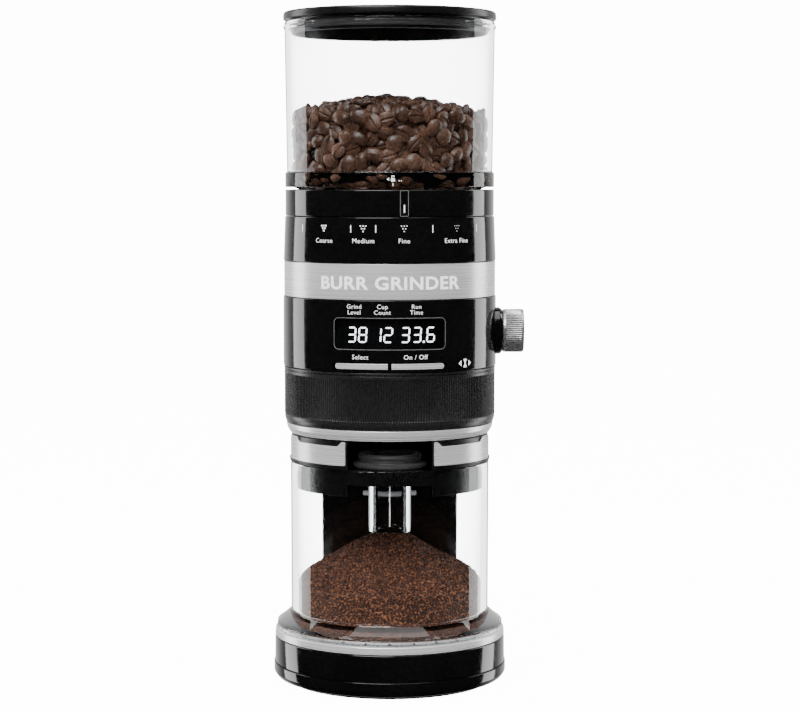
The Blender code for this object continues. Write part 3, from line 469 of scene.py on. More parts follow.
def build_streaks(tree, source):
    """Long fine lines: noise squeezed hard along one direction."""
    squeezed = maths(tree, "MULTIPLY", source.outputs["Vector"], source.outputs["Squeeze"],
                     "ShaderNodeVectorMath")
    grain = tree.nodes.new("ShaderNodeTexNoise")
    grain.inputs["Scale"].default_value = 1.0
    grain.inputs["Detail"].default_value = 4.0
    grain.inputs["Roughness"].default_value = 0.65
    tree.links.new(squeezed, grain.inputs["Vector"])
    return grain.outputs["Fac"]


def build_smudges(tree, source):
    """Handling marks: broad soft patches broken up by fine dust."""
    broad = tree.nodes.new("ShaderNodeTexNoise")
    broad.inputs["Detail"].default_value = 3.0
    fine = tree.nodes.new("ShaderNodeTexNoise")
    fine.inputs["Detail"].default_value = 2.0
    finer = maths(tree, "MULTIPLY", source.outputs["Scale"], 14.0)
    for node, scale in ((broad, source.outputs["Scale"]), (fine, finer)):
        tree.links.new(source.outputs["Vector"], node.inputs["Vector"])
        tree.links.new(scale, node.inputs["Scale"])
    both = maths(tree, "MULTIPLY", broad.outputs["Fac"], fine.outputs["Fac"])
    spread = tree.nodes.new("ShaderNodeMapRange")
    spread.inputs["From Min"].default_value = 0.12
    spread.inputs["From Max"].default_value = 0.4
    tree.links.new(both, spread.inputs["Value"])
    return spread.outputs["Result"]


def build_grain(tree, source):
    """Even fine grain, as on moulded or cast surfaces."""
    cells = tree.nodes.new("ShaderNodeTexVoronoi")
    soft = tree.nodes.new("ShaderNodeTexNoise")
    for node in (cells, soft):
        tree.links.new(source.outputs["Vector"], node.inputs["Vector"])
        tree.links.new(source.outputs["Scale"], node.inputs["Scale"])
    both = maths(tree, "ADD", cells.outputs["Distance"], soft.outputs["Fac"])
    return maths(tree, "MULTIPLY", both, 0.6)


STREAKS = noise_group("streaks", {"Squeeze": (4.0, 4.0, 2400.0)}, build_streaks)
SMUDGES = noise_group("smudges", {"Scale": 22.0}, build_smudges)
GRAIN = noise_group("grain", {"Scale": 1800.0}, build_grain)


# ---------------------------------------------------------------- materials

def gloss_black():
    look = Shader("gloss_black_plastic", Coat_Weight=0.35, Coat_Roughness=0.02)
    look.smudged(26.0, (0.0026, 0.0026, 0.0027), (0.0044, 0.0044, 0.0046), (0.07, 0.15))
    look.bump(look.group(SMUDGES, Scale=120.0).outputs["Mask"], 0.004, 0.2)
    return look.material


def satin_black():
    look = Shader("satin_black_plastic")
    look.smudged(40.0, (0.0035, 0.0035, 0.0037), (0.006, 0.006, 0.0062), (0.26, 0.36))
    look.grained(2600.0, 0.004, 0.3)
    return look.material


def grip_black():
    look = Shader("grip_black_plastic")
    look.smudged(40.0, (0.011, 0.011, 0.0114), (0.018, 0.018, 0.0184), (0.24, 0.36))
    look.grained(2600.0, 0.003, 0.3)
    return look.material


def matte_black():
    look = Shader("matte_black_nylon")
    look.smudged(60.0, (0.004, 0.004, 0.0042), (0.007, 0.007, 0.0073), (0.5, 0.68))
    look.grained(2200.0, 0.04)
    return look.material


def silicone():
    look = Shader("black_silicone", Sheen_Weight=0.15, Sheen_Roughness=0.5)
    look.smudged(90.0, (0.022, 0.022, 0.023), (0.04, 0.04, 0.041), (0.42, 0.62))
    look.grained(3200.0, 0.03)
    return look.material


def brushed_metal(name, squeeze, shade=0.62, rough=(0.22, 0.36), metallic=0.6):
    look = Shader(name, Metallic=metallic)
    lines = look.group(STREAKS, Squeeze=squeeze).outputs["Mask"]
    look.colours(lines, (0.3, (shade * 0.86,) * 3), (0.7, (shade * 1.12,) * 3))
    look.span(lines, "Roughness", *rough)
    look.bump(lines, 0.006, 0.5)
    return look.material


def machined_metal(name, colour, rough):
    look = Shader(name, Metallic=1.0)
    look.smudged(70.0, tuple(c * 0.8 for c in colour), colour, (rough, rough + 0.15))
    look.bump(look.group(STREAKS, Squeeze=(20.0, 20.0, 3000.0)).outputs["Mask"], 0.01)
    return look.material


def plain_plastic(name, colour, rough):
    look = Shader(name)
    look.smudged(80.0, tuple(c * 0.82 for c in colour), colour, (rough, rough + 0.12))
    look.grained(2400.0, 0.02)
    return look.material


def mirrored_only(look):
    """1 for rays that a gloss surface has mirrored, and 0 for all others."""
    rays = look.add("ShaderNodeLightPath").outputs
    return maths(look.tree, "SUBTRACT", rays["Is Glossy Ray"], rays["Is Transmission Ray"], clamp=True)


def through_for(look, mask, tint):
    """Let the rays that the mask picks straight through the material."""
    through = look.add("ShaderNodeBsdfTransparent")
    through.inputs["Color"].default_value = (*tint, 1)
    mix = look.add("ShaderNodeMixShader")
    look.links.new(mask, mix.inputs["Fac"])
    look.links.new(look.main.outputs["BSDF"], mix.inputs[1])
    look.links.new(through.outputs["BSDF"], mix.inputs[2])
    look.links.new(mix.outputs["Shader"], look.nodes["Material Output"].inputs["Surface"])


def clear_plastic(name, tint, rough=(0.012, 0.05), scale=30.0):
    """Clear moulded plastic that lets light through to its contents."""
    look = Shader(name, Transmission_Weight=1.0, IOR=1.46)
    look.smudged(scale, tint, tuple(c * 0.97 for c in tint), rough)
    look.grained(160.0, 0.01, 0.15)
    rays = look.add("ShaderNodeLightPath").outputs
    lit = maths(look.tree, "MAXIMUM", rays["Is Shadow Ray"], rays["Is Diffuse Ray"])
    through_for(look, maths(look.tree, "MAXIMUM", mirrored_only(look), lit), tint)
    return look.material


def white_print_painted_glow():
    # The emission is a painted glow: it makes the white print light itself, though print is no lamp.
    look = Shader("white_print_painted_glow", Emission_Strength=1.2)
    look.smudged(300.0, (0.62, 0.62, 0.62), (0.82, 0.82, 0.82), (0.45, 0.6))
    look.main.inputs["Emission Color"].default_value = (1, 1, 1, 1)
    return look.material


def grey_lines_and_painted_edge_highlight():
    # Grey lines. On the pointer tab this grey is a painted highlight for light caught by the tab's
    # edges; round the display window it is a thin grey frame line.
    look = Shader("grey_lines_and_painted_edge_highlight")
    look.smudged(300.0, (0.16, 0.16, 0.16), (0.24, 0.24, 0.24), (0.3, 0.45))
    return look.material


def lit_segments():
    look = Shader("lit_segments", Emission_Strength=7.0)
    glow = look.group(SMUDGES, Scale=500.0).outputs["Mask"]
    ramp = look.add("ShaderNodeValToRGB")
    ramp.color_ramp.elements[0].color = (0.82, 0.86, 0.9, 1)
    ramp.color_ramp.elements[1].color = (1, 1, 1, 1)
    look.links.new(glow, ramp.inputs["Fac"])
    look.links.new(ramp.outputs["Color"], look.main.inputs["Emission Color"])
    look.main.inputs["Base Color"].default_value = (0.8, 0.8, 0.8, 1)
    return look.material


def roasted_bean():
    look = Shader("roasted_bean", Coat_Weight=0.12, Coat_Roughness=0.3)
    patches = look.group(SMUDGES, Scale=75.0).outputs["Mask"]
    look.colours(patches, (0.0, (0.02, 0.0088, 0.0046)), (0.45, (0.072, 0.032, 0.017)),
                 (1.0, (0.165, 0.082, 0.047)))
    look.span(patches, "Roughness", 0.3, 0.5)
    look.grained(520.0, 0.22, 0.6)
    return look.material


def ground_coffee():
    look = Shader("ground_coffee")
    specks = look.group(GRAIN, Scale=900.0).outputs["Mask"]
    look.colours(specks, (0.3, (0.0045, 0.0016, 0.001)), (0.5, (0.03, 0.0092, 0.0042)),
                 (0.66, (0.095, 0.029, 0.0115)), (0.84, (0.36, 0.14, 0.06)))
    look.span(specks, "Roughness", 0.55, 0.85)
    look.bump(specks, 1.1, 1.0)
    return look.material


LOOKS = {
    "gloss_black": gloss_black(),
    "satin_black": satin_black(),
    "grip_black": grip_black(),
    "matte_black": matte_black(),
    "silicone": silicone(),
    "brushed_bright": brushed_metal("brushed_bright", (5.0, 5.0, 1800.0), 0.86, (0.2, 0.34), 0.45),
    "brushed_knob": brushed_metal("brushed_knob", (60.0, 900.0, 900.0), 0.55, (0.2, 0.34), 0.8),
    "steel": machined_metal("machined_steel", (0.55, 0.55, 0.57), 0.26),
    "brass": machined_metal("turned_brass", (0.72, 0.5, 0.2), 0.28),
    "copper": machined_metal("varnished_copper", (0.62, 0.24, 0.1), 0.3),
    "nylon": plain_plastic("natural_nylon", (0.74, 0.71, 0.62), 0.42),
    "board": plain_plastic("circuit_board", (0.012, 0.1, 0.035), 0.35),
    "clear": clear_plastic("clear_plastic", (0.965, 0.975, 0.98)),
    "smoked": clear_plastic("smoked_window", (0.62, 0.62, 0.64), (0.01, 0.03)),
    "frosted": clear_plastic("frosted_edge", (0.93, 0.94, 0.95), (0.2, 0.34)),
    "white_bar": plain_plastic("white_bar", (0.85, 0.85, 0.85), 0.3),
    "white_print_painted_glow": white_print_painted_glow(),
    "grey_lines_and_painted_edge_highlight": grey_lines_and_painted_edge_highlight(),
    "segments": lit_segments(),
    "bean": roasted_bean(),
    "grounds": ground_coffee(),
}


def fit(piece, body, look, *nodes):
    """Give a finished piece its material and its body, and hide the CAD nodes it stands for."""
    piece.data.materials.clear()
    piece.data.materials.append(LOOKS[look])
    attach(piece, body)
    if nodes:
        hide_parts(*nodes)
    return piece


# ---------------------------------------------------------------- base and spine

def arc_points(size, start, end, count, centre_y=0.0):
    """Points on an arc; angles in degrees from +X."""
    angles = [math.radians(start + (end - start) * i / count) for i in range(count + 1)]
    return [(size * math.cos(a), centre_y + size * math.sin(a)) for a in angles]


def base_outline(inset):
    """Round front and narrower round back, joined by straight tangents."""
    front, rear = radius("base_pan") - inset, BASE_REAR - inset
    lean = math.degrees(math.asin((front - rear) / SPINE_Y))
    return (arc_points(front, 180 - lean, 360 + lean, 120)
            + arc_points(rear, lean, 180 - lean, 70, SPINE_Y))


def spine_outline(inset):
    half = high("rear_housing").x - inset
    front = radius("head_chassis") / 2
    return [(half, front)] + arc_points(half, 0, 180, 72, SPINE_Y) + [(-half, front)]


def base():
    pan_low, pan_top = heights("base_pan")
    section = [(20, pan_low), (7, pan_low), (2.2, pan_low + 0.4, 2.0), (0, pan_low + 3.4, 2.5),
               (0, pan_top, 0.4), (2, pan_top)]
    pan = layered("base_pan_shell", base_outline, section)
    fit(pan, "housing", "gloss_black", "base_pan")
    shell_low = low("base_shell").z
    deck = high("base_trim_ring").z - 4.6
    shell = layered("base_upper_shell", base_outline, [(5, shell_low), (0.55, shell_low, 0.4),
                                                       (0.75, deck, 0.9), (5, deck)])
    fit(shell, "housing", "gloss_black", "base_shell")
    tray = radius("base_trim_ring") - 5.1
    rim = high("base_shell").z
    fit(turned("base_tray", [(0, deck + 2.4), (tray - 6, deck + 2.4, 2), (tray - 3, rim, 0.8),
                             (tray, rim, 0.6), (tray, deck - 0.5), (0, deck - 0.5)]),
        "housing", "satin_black")
    seat_top = high("base_trim_ring").z - 0.1
    fit(turned("base_seat_ring", [(tray + 0.1, seat_top, 0.4), (tray - 5.5, seat_top, 0.4),
                                  (tray - 5.5, seat_top - 1.2), (tray + 0.1, seat_top - 1.2)]),
        "housing", "brushed_bright")
    mat_top = high("foot_mat").z
    mat = layered("foot_mat_soft", lambda inset: base_outline(8 + inset),
                  [(3, 0), (0, 0.05, 0.5), (0, mat_top, 0.4), (3, mat_top)])
    fit(mat, "housing", "silicone", "foot_mat")
    ring, low_z, top_z = round_size("base_trim_ring")
    fit(turned("base_trim", [(ring, low_z, 0.3), (ring - 0.3, top_z, 0.9), (ring - 4.8, top_z, 0.4),
                             (ring - 4.8, low_z)]), "housing", "brushed_bright", "base_trim_ring")


def cord_gland():
    size, length = high("cord_gland").x, high("cord_gland").y
    place = Matrix.Translation((0, 0, middle_z("cord_gland") * MM)) @ TILT_TO_Y
    back = low("cord_gland").y
    gland = turned("cord_gland_ring", [(size, back), (size, length - 3, 0.6), (size - 1, length, 1.0),
                                       (size - 2, length, 0.5), (size - 2, back)], 64, place)
    fit(gland, "housing", "silicone", "cord_gland")


def spine():
    bottom, top = heights("rear_housing")
    step = high("column_front_cover").z + 0.3
    front = low("column_front_cover").y
    shell = layered("spine_shell", spine_outline,
                    [(4, bottom), (0, bottom, 0.5), (0, top, 7.0), (12, top)])
    room, back = radius("display_shell") + 0.4, high("column_front_cover").y
    head = turned("head_room", [(0, top + 20), (room, top + 20), (room, bottom - 20), (0, bottom - 20)])
    jar_room = block("jar_room", (-80, 0, bottom - 20), (80, back + 0.3, step), 0)
    arm = high("head_chassis").y
    slot = block("arm_room", (-ARM_HALF, 55, step + 1.2), (ARM_HALF, arm + 1, step + 6.2), 0)
    fit(carve(shell, head, jar_room, slot), "housing", "gloss_black", "rear_housing")

    half = high("column_front_cover").x
    fit(block("column_cover", (-half, front, bottom), (half, back, step - 0.3), 0.6),
        "housing", "gloss_black", "column_front_cover")
    fit(block("column_rail", low("hook_rail"), high("hook_rail"), 0.2), "housing", "gloss_black",
        "hook_rail")
    fit(block("hook_bar_round", low("hook_bar"), high("hook_bar"), 0.8), "housing", "white_bar",
        "hook_bar")


# ---------------------------------------------------------------- head

def head_shells():
    ring, bottom, top = round_size("silver_band")
    fit(turned("silver_band_fine", [(ring, bottom, 0.35), (ring, top, 0.35), (ring - 1.7, top),
                                    (ring - 1.7, bottom)]), "housing", "brushed_bright", "silver_band")

    foot, bottom, top = round_size("scale_shell")
    fit(turned("scale_shell_fine", [(foot, bottom, 0.4), (foot - SCALE_TAPER, top, 0.5),
                                    (SCALE_BORE, top), (SCALE_BORE, top - 2.5), (foot - 2.5, top - 2.5),
                                    (foot - 2.5, bottom)]),
        "housing", "gloss_black", "scale_shell")

    wide, bottom, top = round_size("lower_trim_ring")
    trim = turned("lower_trim_fine", [(HEAD_BORE, bottom), (radius("jar_lid") + 0.1, bottom, 0.5),
                                      (wide - 0.9, bottom + 2.6, 0.5), (wide - 0.6, bottom + 3.2, 0.2),
                                      (wide, top - 0.2, 0.6), (HEAD_BORE, top)])
    carve(trim, block("trim_gap", (-ARM_HALF, 40, bottom - 5), (ARM_HALF, 80, top + 5), 0))
    fit(trim, "housing", "brushed_bright", "lower_trim_ring")


def scale_radius(z):
    """Radius of the tapered scale shell at a height."""
    rise = (z - low("scale_shell").z) / (high("scale_shell").z - low("scale_shell").z)
    return radius("scale_shell") - SCALE_TAPER * rise


def dot_cluster(x, z, size, pitch):
    """Three dots over two over one."""
    shapes = []
    for row, count in enumerate((3, 2, 1)):
        for i in range(count):
            shapes.append(disc(x + (i - (count - 1) / 2) * pitch, z - row * pitch * 0.95, size))
    return shapes


def scale_print():
    top = high("scale_shell").z
    size = scale_radius(top - 10)
    shapes = []
    for angle in GRIND_LINES:
        x = round_length(angle, size)
        shapes.append(bar(x - 0.25, x + 0.25, top - 8.7, top - 4.4, 0.1))
    for angle, dot, pitch in GRIND_NAMES.values():
        shapes += dot_cluster(round_length(angle, size), top - 4.9, dot, pitch)
    parts = [flat_shapes(shapes)]
    for label, (angle, _, _) in GRIND_NAMES.items():
        parts.append(words(label, 3.9, round_length(angle, size), top - 14.7, -0.03))
    fit(printed("scale_marks", parts, scale_radius), "housing", "white_print_painted_glow")


def band_lettering():
    lettering = words("BURR GRINDER", 10.2, 0.0, middle_z("silver_band") - 4.2, 0.22)
    width = max(v.co.x for v in lettering.verts) - min(v.co.x for v in lettering.verts)
    bmesh.ops.scale(lettering, vec=(86 / width, 1, 1), verts=lettering.verts)
    fit(printed("band_lettering", [lettering], upright(radius("silver_band")), 0.18), "housing",
        "white_print_painted_glow")


def display():
    wide, bottom, top = round_size("display_shell")
    shell = turned("display_shell_fine", [(wide, bottom, 0.6), (wide - 0.1, top, 0.4), (HEAD_BORE, top),
                                          (HEAD_BORE, top - 2.5), (DISPLAY_BORE, top - 2.5),
                                          (DISPLAY_BORE, bottom)])
    surface = upright(wide)
    glass_low, glass_top = heights("display_window")
    half = round_length(WINDOW_ANGLE, wide)
    knob_place = Matrix.Translation((0, 0, middle_z("control_knob") * MM)) @ TILT_TO_X
    bezel = high("knob_bezel").y
    button_low, button_top = heights("start_button")
    window = bar(-half - 0.3, half + 0.3, glass_low - 0.3, glass_top + 0.3, 3.3)
    slot = bar(-half - 0.7, half + 0.7, button_low - 0.3, button_top + 0.3, 1.9)
    carve(shell, wrapped("window_room", [window], surface, -6, 4),
          turned("knob_room", [(0, 80), (bezel + 0.3, 80), (bezel + 0.3, 50), (0, 50)], 72, knob_place),
          wrapped("button_room", [slot], surface, -6, 4))
    fit(shell, "housing", "gloss_black", "display_shell")
    fit(wrapped("window_glass", [bar(-half, half, glass_low, glass_top, 3.0)], surface, -2.2, -0.15),
        "housing", "smoked", "display_window")
    backing = bar(-half, half, glass_low - 1, glass_top + 1, 3.0)
    fit(wrapped("window_backing", [backing], surface, -3.4, -2.9), "housing", "matte_black")
    rise = (glass_top - glass_low) / 2
    frame_line = ring_outline(half - 0.2, (glass_low + glass_top) / 2, rise - 0.2, 3.0)
    fit(printed("window_line", [frame_line], surface, -0.08), "housing", "grey_lines_and_painted_edge_highlight")


def ring_outline(half, middle, rise, corner, width=0.35):
    """Thin rounded frame, as a ring of faces between two rounded bars."""
    outer = bar(-half, half, middle - rise, middle + rise, corner)
    inner = bar(-half + width, half - width, middle - rise + width, middle + rise - width,
                corner - width)
    bm = bmesh.new()
    loops = []
    for outline in (outer, inner):
        verts = [bm.verts.new((x, 0, z)) for x, z in outline]
        loops += [bm.edges.new((verts[i - 1], verts[i])) for i in range(len(verts))]
    bmesh.ops.bridge_loops(bm, edges=loops)
    return bm


SEGMENTS_OF = {"1": "bc", "2": "abged", "3": "abgcd", "6": "afgedc", "8": "abcdefg"}


def digit(figure, x, z, width, rise, stroke=0.8, lean=0.06):
    """Seven-segment figure with pointed strokes, leaning slightly."""
    half = stroke / 2
    gap = 0.28
    corners = {"a": ((0, rise), (width, rise)), "g": ((0, rise / 2), (width, rise / 2)),
               "d": ((0, 0), (width, 0)), "f": ((0, rise / 2), (0, rise)),
               "b": ((width, rise / 2), (width, rise)), "e": ((0, 0), (0, rise / 2)),
               "c": ((width, 0), (width, rise / 2))}
    shapes = []
    for segment in SEGMENTS_OF[figure]:
        start, end = (Vector(p) for p in corners[segment])
        along = (end - start).normalized()
        side = Vector((-along.y, along.x)) * half
        first, last = start + along * gap, end - along * gap
        stroke_points = (first, first + along * half + side, last - along * half + side, last,
                         last - along * half - side, first + along * half - side)
        shapes.append([(x + p.x + lean * p.y, z + p.y) for p in stroke_points])
    return shapes


def display_print():
    wide = radius("display_shell")
    base_z = low("display_window").z + 4.7
    behind = wide - 2.85
    shapes = []
    for figure, x in zip("3812336", (-24.4, -17.9, -9.6, -3.2, 6.6, 13.4, 21.6)):
        shapes += digit(figure, x, base_z, 4.3, 8.2)
    shapes.append(bar(19.2, 20.3, base_z - 0.5, base_z + 0.6, 0.2))
    fit(printed("lit_figures", [flat_shapes(shapes)], upright(behind), 0.1), "housing", "segments")

    parts = []
    above = high("display_window").z
    for angle, heading in ((-18.7, "Grind Level"), (-3.8, "Cup Count"), (14.0, "Run Time")):
        for word, rise in zip(heading.split(), (5.0, 1.7)):
            parts.append(words(word, 3.6, round_length(angle, wide), above + rise, -0.03))
    below = low("display_window").z - 5.2
    for angle, label in ((-15.5, "Select"), (13.6, "On / Off")):
        parts.append(words(label, 3.8, round_length(angle, wide), below, -0.03))
    parts.append(turn_mark(round_length(43.3, wide), low("display_shell").z + 4.3))
    fit(printed("display_marks", parts, upright(wide)), "housing", "white_print_painted_glow")


def turn_mark(x, z):
    """Arrow left, sand glass, arrow right."""
    shapes = []
    for side in (-1, 1):
        tip, back = x + side * 4.9, x + side * 2.9
        shapes.append([(tip, z), (back, z + 1.7), (back, z + 0.9), (tip - side * 0.9, z)])
        shapes.append([(tip, z), (tip - side * 0.9, z), (back, z - 0.9), (back, z - 1.7)])
        shapes.append([(back, z + 1.7), (back + side * 0.35, z + 1.4), (back + side * 0.35, z - 1.4),
                       (back, z - 1.7)])
    for side in (-1, 1):
        shapes.append([(x - 1.3, z + side * 2.4), (x + 1.3, z + side * 2.4), (x + 0.3, z), (x - 0.3, z)])
    return flat_shapes(shapes)


def buttons():
    wide = radius("display_shell")
    inner, outer = round_length(0.95, wide), round_length(29.45, wide)
    for node, side in (("program_button", -1), ("start_button", 1)):
        bottom, top = low(node).z, high(node).z
        outline = rounded([(side * inner, bottom, 0.3), (side * outer, bottom, 1.5),
                           (side * outer, top, 1.5), (side * inner, top, 0.3)])
        piece = wrapped(node + "_cap", [outline], upright(wide), -1.9, 0.1)
        soft_edge(piece, 0.35)
        fit(piece, node, "brushed_bright", node)


def control_ring():
    wide, bottom, top = round_size("control_ring")
    rib_low, rib_top = bottom + 4.6, top - 3.8

    def share(z):
        return min(1.0, max(0.0, min(z - rib_low, rib_top - z) / 0.5))

    bore = HEAD_BORE + 0.2
    band = [(bore, bottom), (wide - 1.2, bottom, 0.5), (wide - 0.35, bottom + 2.6, 0.8),
            (wide - 0.4, rib_low, 0.2), (wide - 1.4, rib_low), (wide - 1.4, rib_top),
            (wide - 0.1, rib_top, 0.1), (wide - 0.1, top - 2.3, 0.2), (wide - 0.6, top - 2.0, 0.2),
            (wide - 0.6, top - 1.6, 0.2), (wide, top - 1.3, 0.2), (wide, top, 0.5), (bore, top)]
    fit(turned("control_ring_band", band), "control_ring", "grip_black", "control_ring")
    grip = [(wide - 1.6, rib_low), (wide - 0.2, rib_low), (wide - 0.2, rib_low + 0.6),
            (wide - 0.2, rib_top - 0.6), (wide - 0.2, rib_top), (wide - 1.6, rib_top)]
    fit(ribbed("control_ring_ribs", grip, GRIP_RIBS, 0.6, share, outer=wide - 1.5), "control_ring",
        "grip_black")


def knob():
    place = Matrix.Translation((0, 0, middle_z("control_knob") * MM)) @ TILT_TO_X
    wide, face = high("control_knob").y, high("control_knob").x
    back = high("knob_bezel").x + 0.3
    stem = low("control_knob").x

    def share(x):
        return min(1.0, max(0.0, min(x - back - 1.6, face - 1.4 - x) / 0.3))

    corners = [(0, face - 0.5), (wide - 2.4, face - 0.5, 0.6), (wide - 1.9, face, 0.4),
               (wide - 0.2, face, 0.9), (wide, face - 1.4), (wide, face - 1.7), (wide, back + 1.9),
               (wide, back + 1.6), (wide - 0.3, back, 0.5), (3, back), (3, stem), (0, stem)]
    fit(ribbed("knob_ridged", corners, KNOB_RIDGES, 0.5, share, place=place, outer=wide - 2), "knob",
        "brushed_knob", "control_knob")
    bezel = high("knob_bezel").y
    inner, end = low("knob_bezel").x, high("knob_bezel").x
    fit(turned("knob_bezel_fine", [(bezel, inner), (bezel, end - 1.6, 1.2), (bezel - 1.2, end, 0.8),
                                   (bezel - 3, end, 0.4), (bezel - 3, inner)], 96, place),
        "housing", "gloss_black", "knob_bezel")


# ---------------------------------------------------------------- grind ring and hopper

def grind_ring():
    wide, bottom, top = radius("grind_ring"), high("scale_shell").z + 0.3, high("grind_ring").z
    nut, nut_low = radius("burr_carrier") + 0.3, low("grind_ring").z
    section = [(wide, top, 0.6), (wide, bottom, 0.5), (nut + 3, bottom), (nut + 3, nut_low),
               (nut, nut_low), (nut, bottom + 2), (wide - 3.8, bottom + 2), (wide - 3.8, top, 0.5)]
    fit(turned("grind_ring_fine", section), "grind_ring", "gloss_black", "grind_ring")
    middle = round_length(POINTER_ANGLE, wide)
    surface = upright(wide)
    tab = wrapped("pointer_plate", [bar(middle - 2.4, middle + 2.4, bottom + 0.3, top - 0.3, 0.5)],
                  surface, 0.0, 0.5)
    fit(tab, "grind_ring", "gloss_black", "pointer_tab")
    # Painted highlight: the grey line round the pointer tab stands in for light caught by the tab's
    # edges.
    edge = ring_outline(2.45, (bottom + top) / 2, (top - bottom) / 2 - 0.25, 0.6, 0.3)
    bmesh.ops.translate(edge, vec=(middle, 0, 0), verts=edge.verts)
    fit(printed("pointer_edge_painted_highlight", [edge], surface, 0.56), "grind_ring", "grey_lines_and_painted_edge_highlight")
    mark = flat_shapes([bar(middle - 0.3, middle + 0.3, bottom + 2.4, bottom + 6.9, 0.15)])
    fit(printed("pointer_mark", [mark], surface, 0.6), "grind_ring", "white_print_painted_glow")


def hopper():
    bottom, top = heights("hopper_bowl")
    flange_low = high("grind_ring").z + 1.4
    bowl_low = flange_low + 8.5
    wide, foot, flange, throat = BOWL_TOP, BOWL_FOOT, BOWL_FLANGE, BOWL_THROAT
    section = [(foot - 2.2, bowl_low, 2.5), (wide - 2.2, top - 2, 0.3), (wide - 1.6, top, 0.5),
               (wide, top, 0.5), (wide, top - 1.8, 0.2), (wide + 0.7, top - 2.2, 0.3),
               (wide + 0.7, top - 3.6, 0.3), (wide - 0.02, top - 4.2, 0.3), (foot, bowl_low + 0.6, 0.6),
               (flange, bowl_low, 0.7), (flange, flange_low, 0.6), (BOWL_FUNNEL_TOP, flange_low, 0.6),
               (throat + 2.2, bottom, 0.3), (throat, bottom, 0.3), (throat, bottom + 2, 0.8)]
    fit(turned("hopper_clear", section), "hopper", "clear", "hopper_bowl")
    hopper_marks(flange, flange_low)
    lid()


def hopper_marks(flange, flange_low):
    """Open padlock with an arrow, small dots and a line."""
    x = round_length(1.7, flange)
    z = flange_low + 3.4
    shapes = [bar(x - 1.1, x + 1.1, z, z + 1.8, 0.2),
              bar(x - 0.85, x - 0.5, z + 1.8, z + 3.2, 0.1),
              bar(x - 0.85, x + 0.85, z + 3.0, z + 3.35, 0.1),
              bar(x + 0.5, x + 0.85, z + 2.4, z + 3.2, 0.1),
              [(x - 3.6, z + 1.3), (x - 2.2, z + 2.2), (x - 2.2, z + 0.4)],
              disc(x + 3.6, z + 0.4, 0.32), disc(x + 4.8, z + 0.4, 0.32),
              bar(x - 0.2, x + 0.2, z - 2.6, z - 0.9, 0.1)]
    fit(printed("hopper_marks", [flat_shapes(shapes)], upright(flange)), "hopper", "white_print_painted_glow")


def lid():
    wide, top = radius("hopper_lid"), high("hopper_lid").z
    rim = high("hopper_bowl").z + 1.2
    plug_z = low("hopper_lid").z
    plug = radius("lid_seal") - 1.3
    section = [(0, top - 0.7), (wide - 5.5, top - 0.7, 0.6), (wide - 4.8, top, 0.5),
               (wide - 0.2, top, 1.6), (wide, rim, 0.9), (plug, rim, 0.3), (plug, plug_z, 0.6),
               (plug - 2.2, plug_z, 0.5), (plug - 2.2, top - 3, 1.0), (0, top - 3)]
    fit(turned("hopper_lid_fine", section), "hopper_lid", "satin_black", "hopper_lid")
    outer, bottom, seal_top = round_size("lid_seal")
    lips = [(plug + 0.2, seal_top), (plug + 0.2, bottom)]
    count = 3
    pitch = (seal_top - bottom) / count
    for i in range(count):
        base_z = bottom + i * pitch
        lips += [(outer - 0.5, base_z + 0.1), (outer + 0.2, base_z + pitch * 0.5, 0.25),
                 (outer - 0.5, base_z + pitch * 0.9)]
    fit(turned("lid_seal_lips", lips), "hopper_lid", "silicone", "lid_seal")


# ---------------------------------------------------------------- beans

def bean_bmesh(seed):
    """One bean: a rounded back, a flatter face and the crease along it."""
    bm = bmesh.new()
    bmesh.ops.create_uvsphere(bm, u_segments=12, v_segments=8, radius=1,
                              matrix=Matrix.Rotation(math.pi / 2, 4, "Y"))
    length, width, depth = (s / 2 * MM for s in BEAN_SIZE)
    rng = np.random.default_rng(seed)
    stretch = rng.uniform(0.88, 1.12, 3)
    for vert in bm.verts:
        x, y, z = vert.co
        turn = math.atan2(y, -z)
        around = math.copysign(math.pi * (abs(turn) / math.pi) ** 1.45, turn)
        across = math.hypot(y, z)
        y, z = across * math.sin(around), -across * math.cos(around)
        crease = math.exp(-(around / 0.14) ** 2) if across > 0.3 else 0
        face = 0.55 if z < 0 else 1.0
        z = z * face + 0.26 * crease
        bend = 1 + 0.08 * math.sin(3 * x + seed)
        vert.co = (x * length * stretch[0], y * width * stretch[1] * bend, z * depth * stretch[2])
    bmesh.ops.recalc_face_normals(bm, faces=bm.faces)
    return bm


def heap_top(across):
    """Height of the beans' surface at a distance from the axis."""
    return BEANS_TOP - BEANS_DROP * (across / 58.0) ** 2


def bean_limit(z):
    """Largest radius for a bean's middle at a height, inside the bowl and its funnel."""
    return np.minimum(BOWL_INSIDE - 3.6, BOWL_THROAT + (z - 286.0) * 1.68 - 4.2)


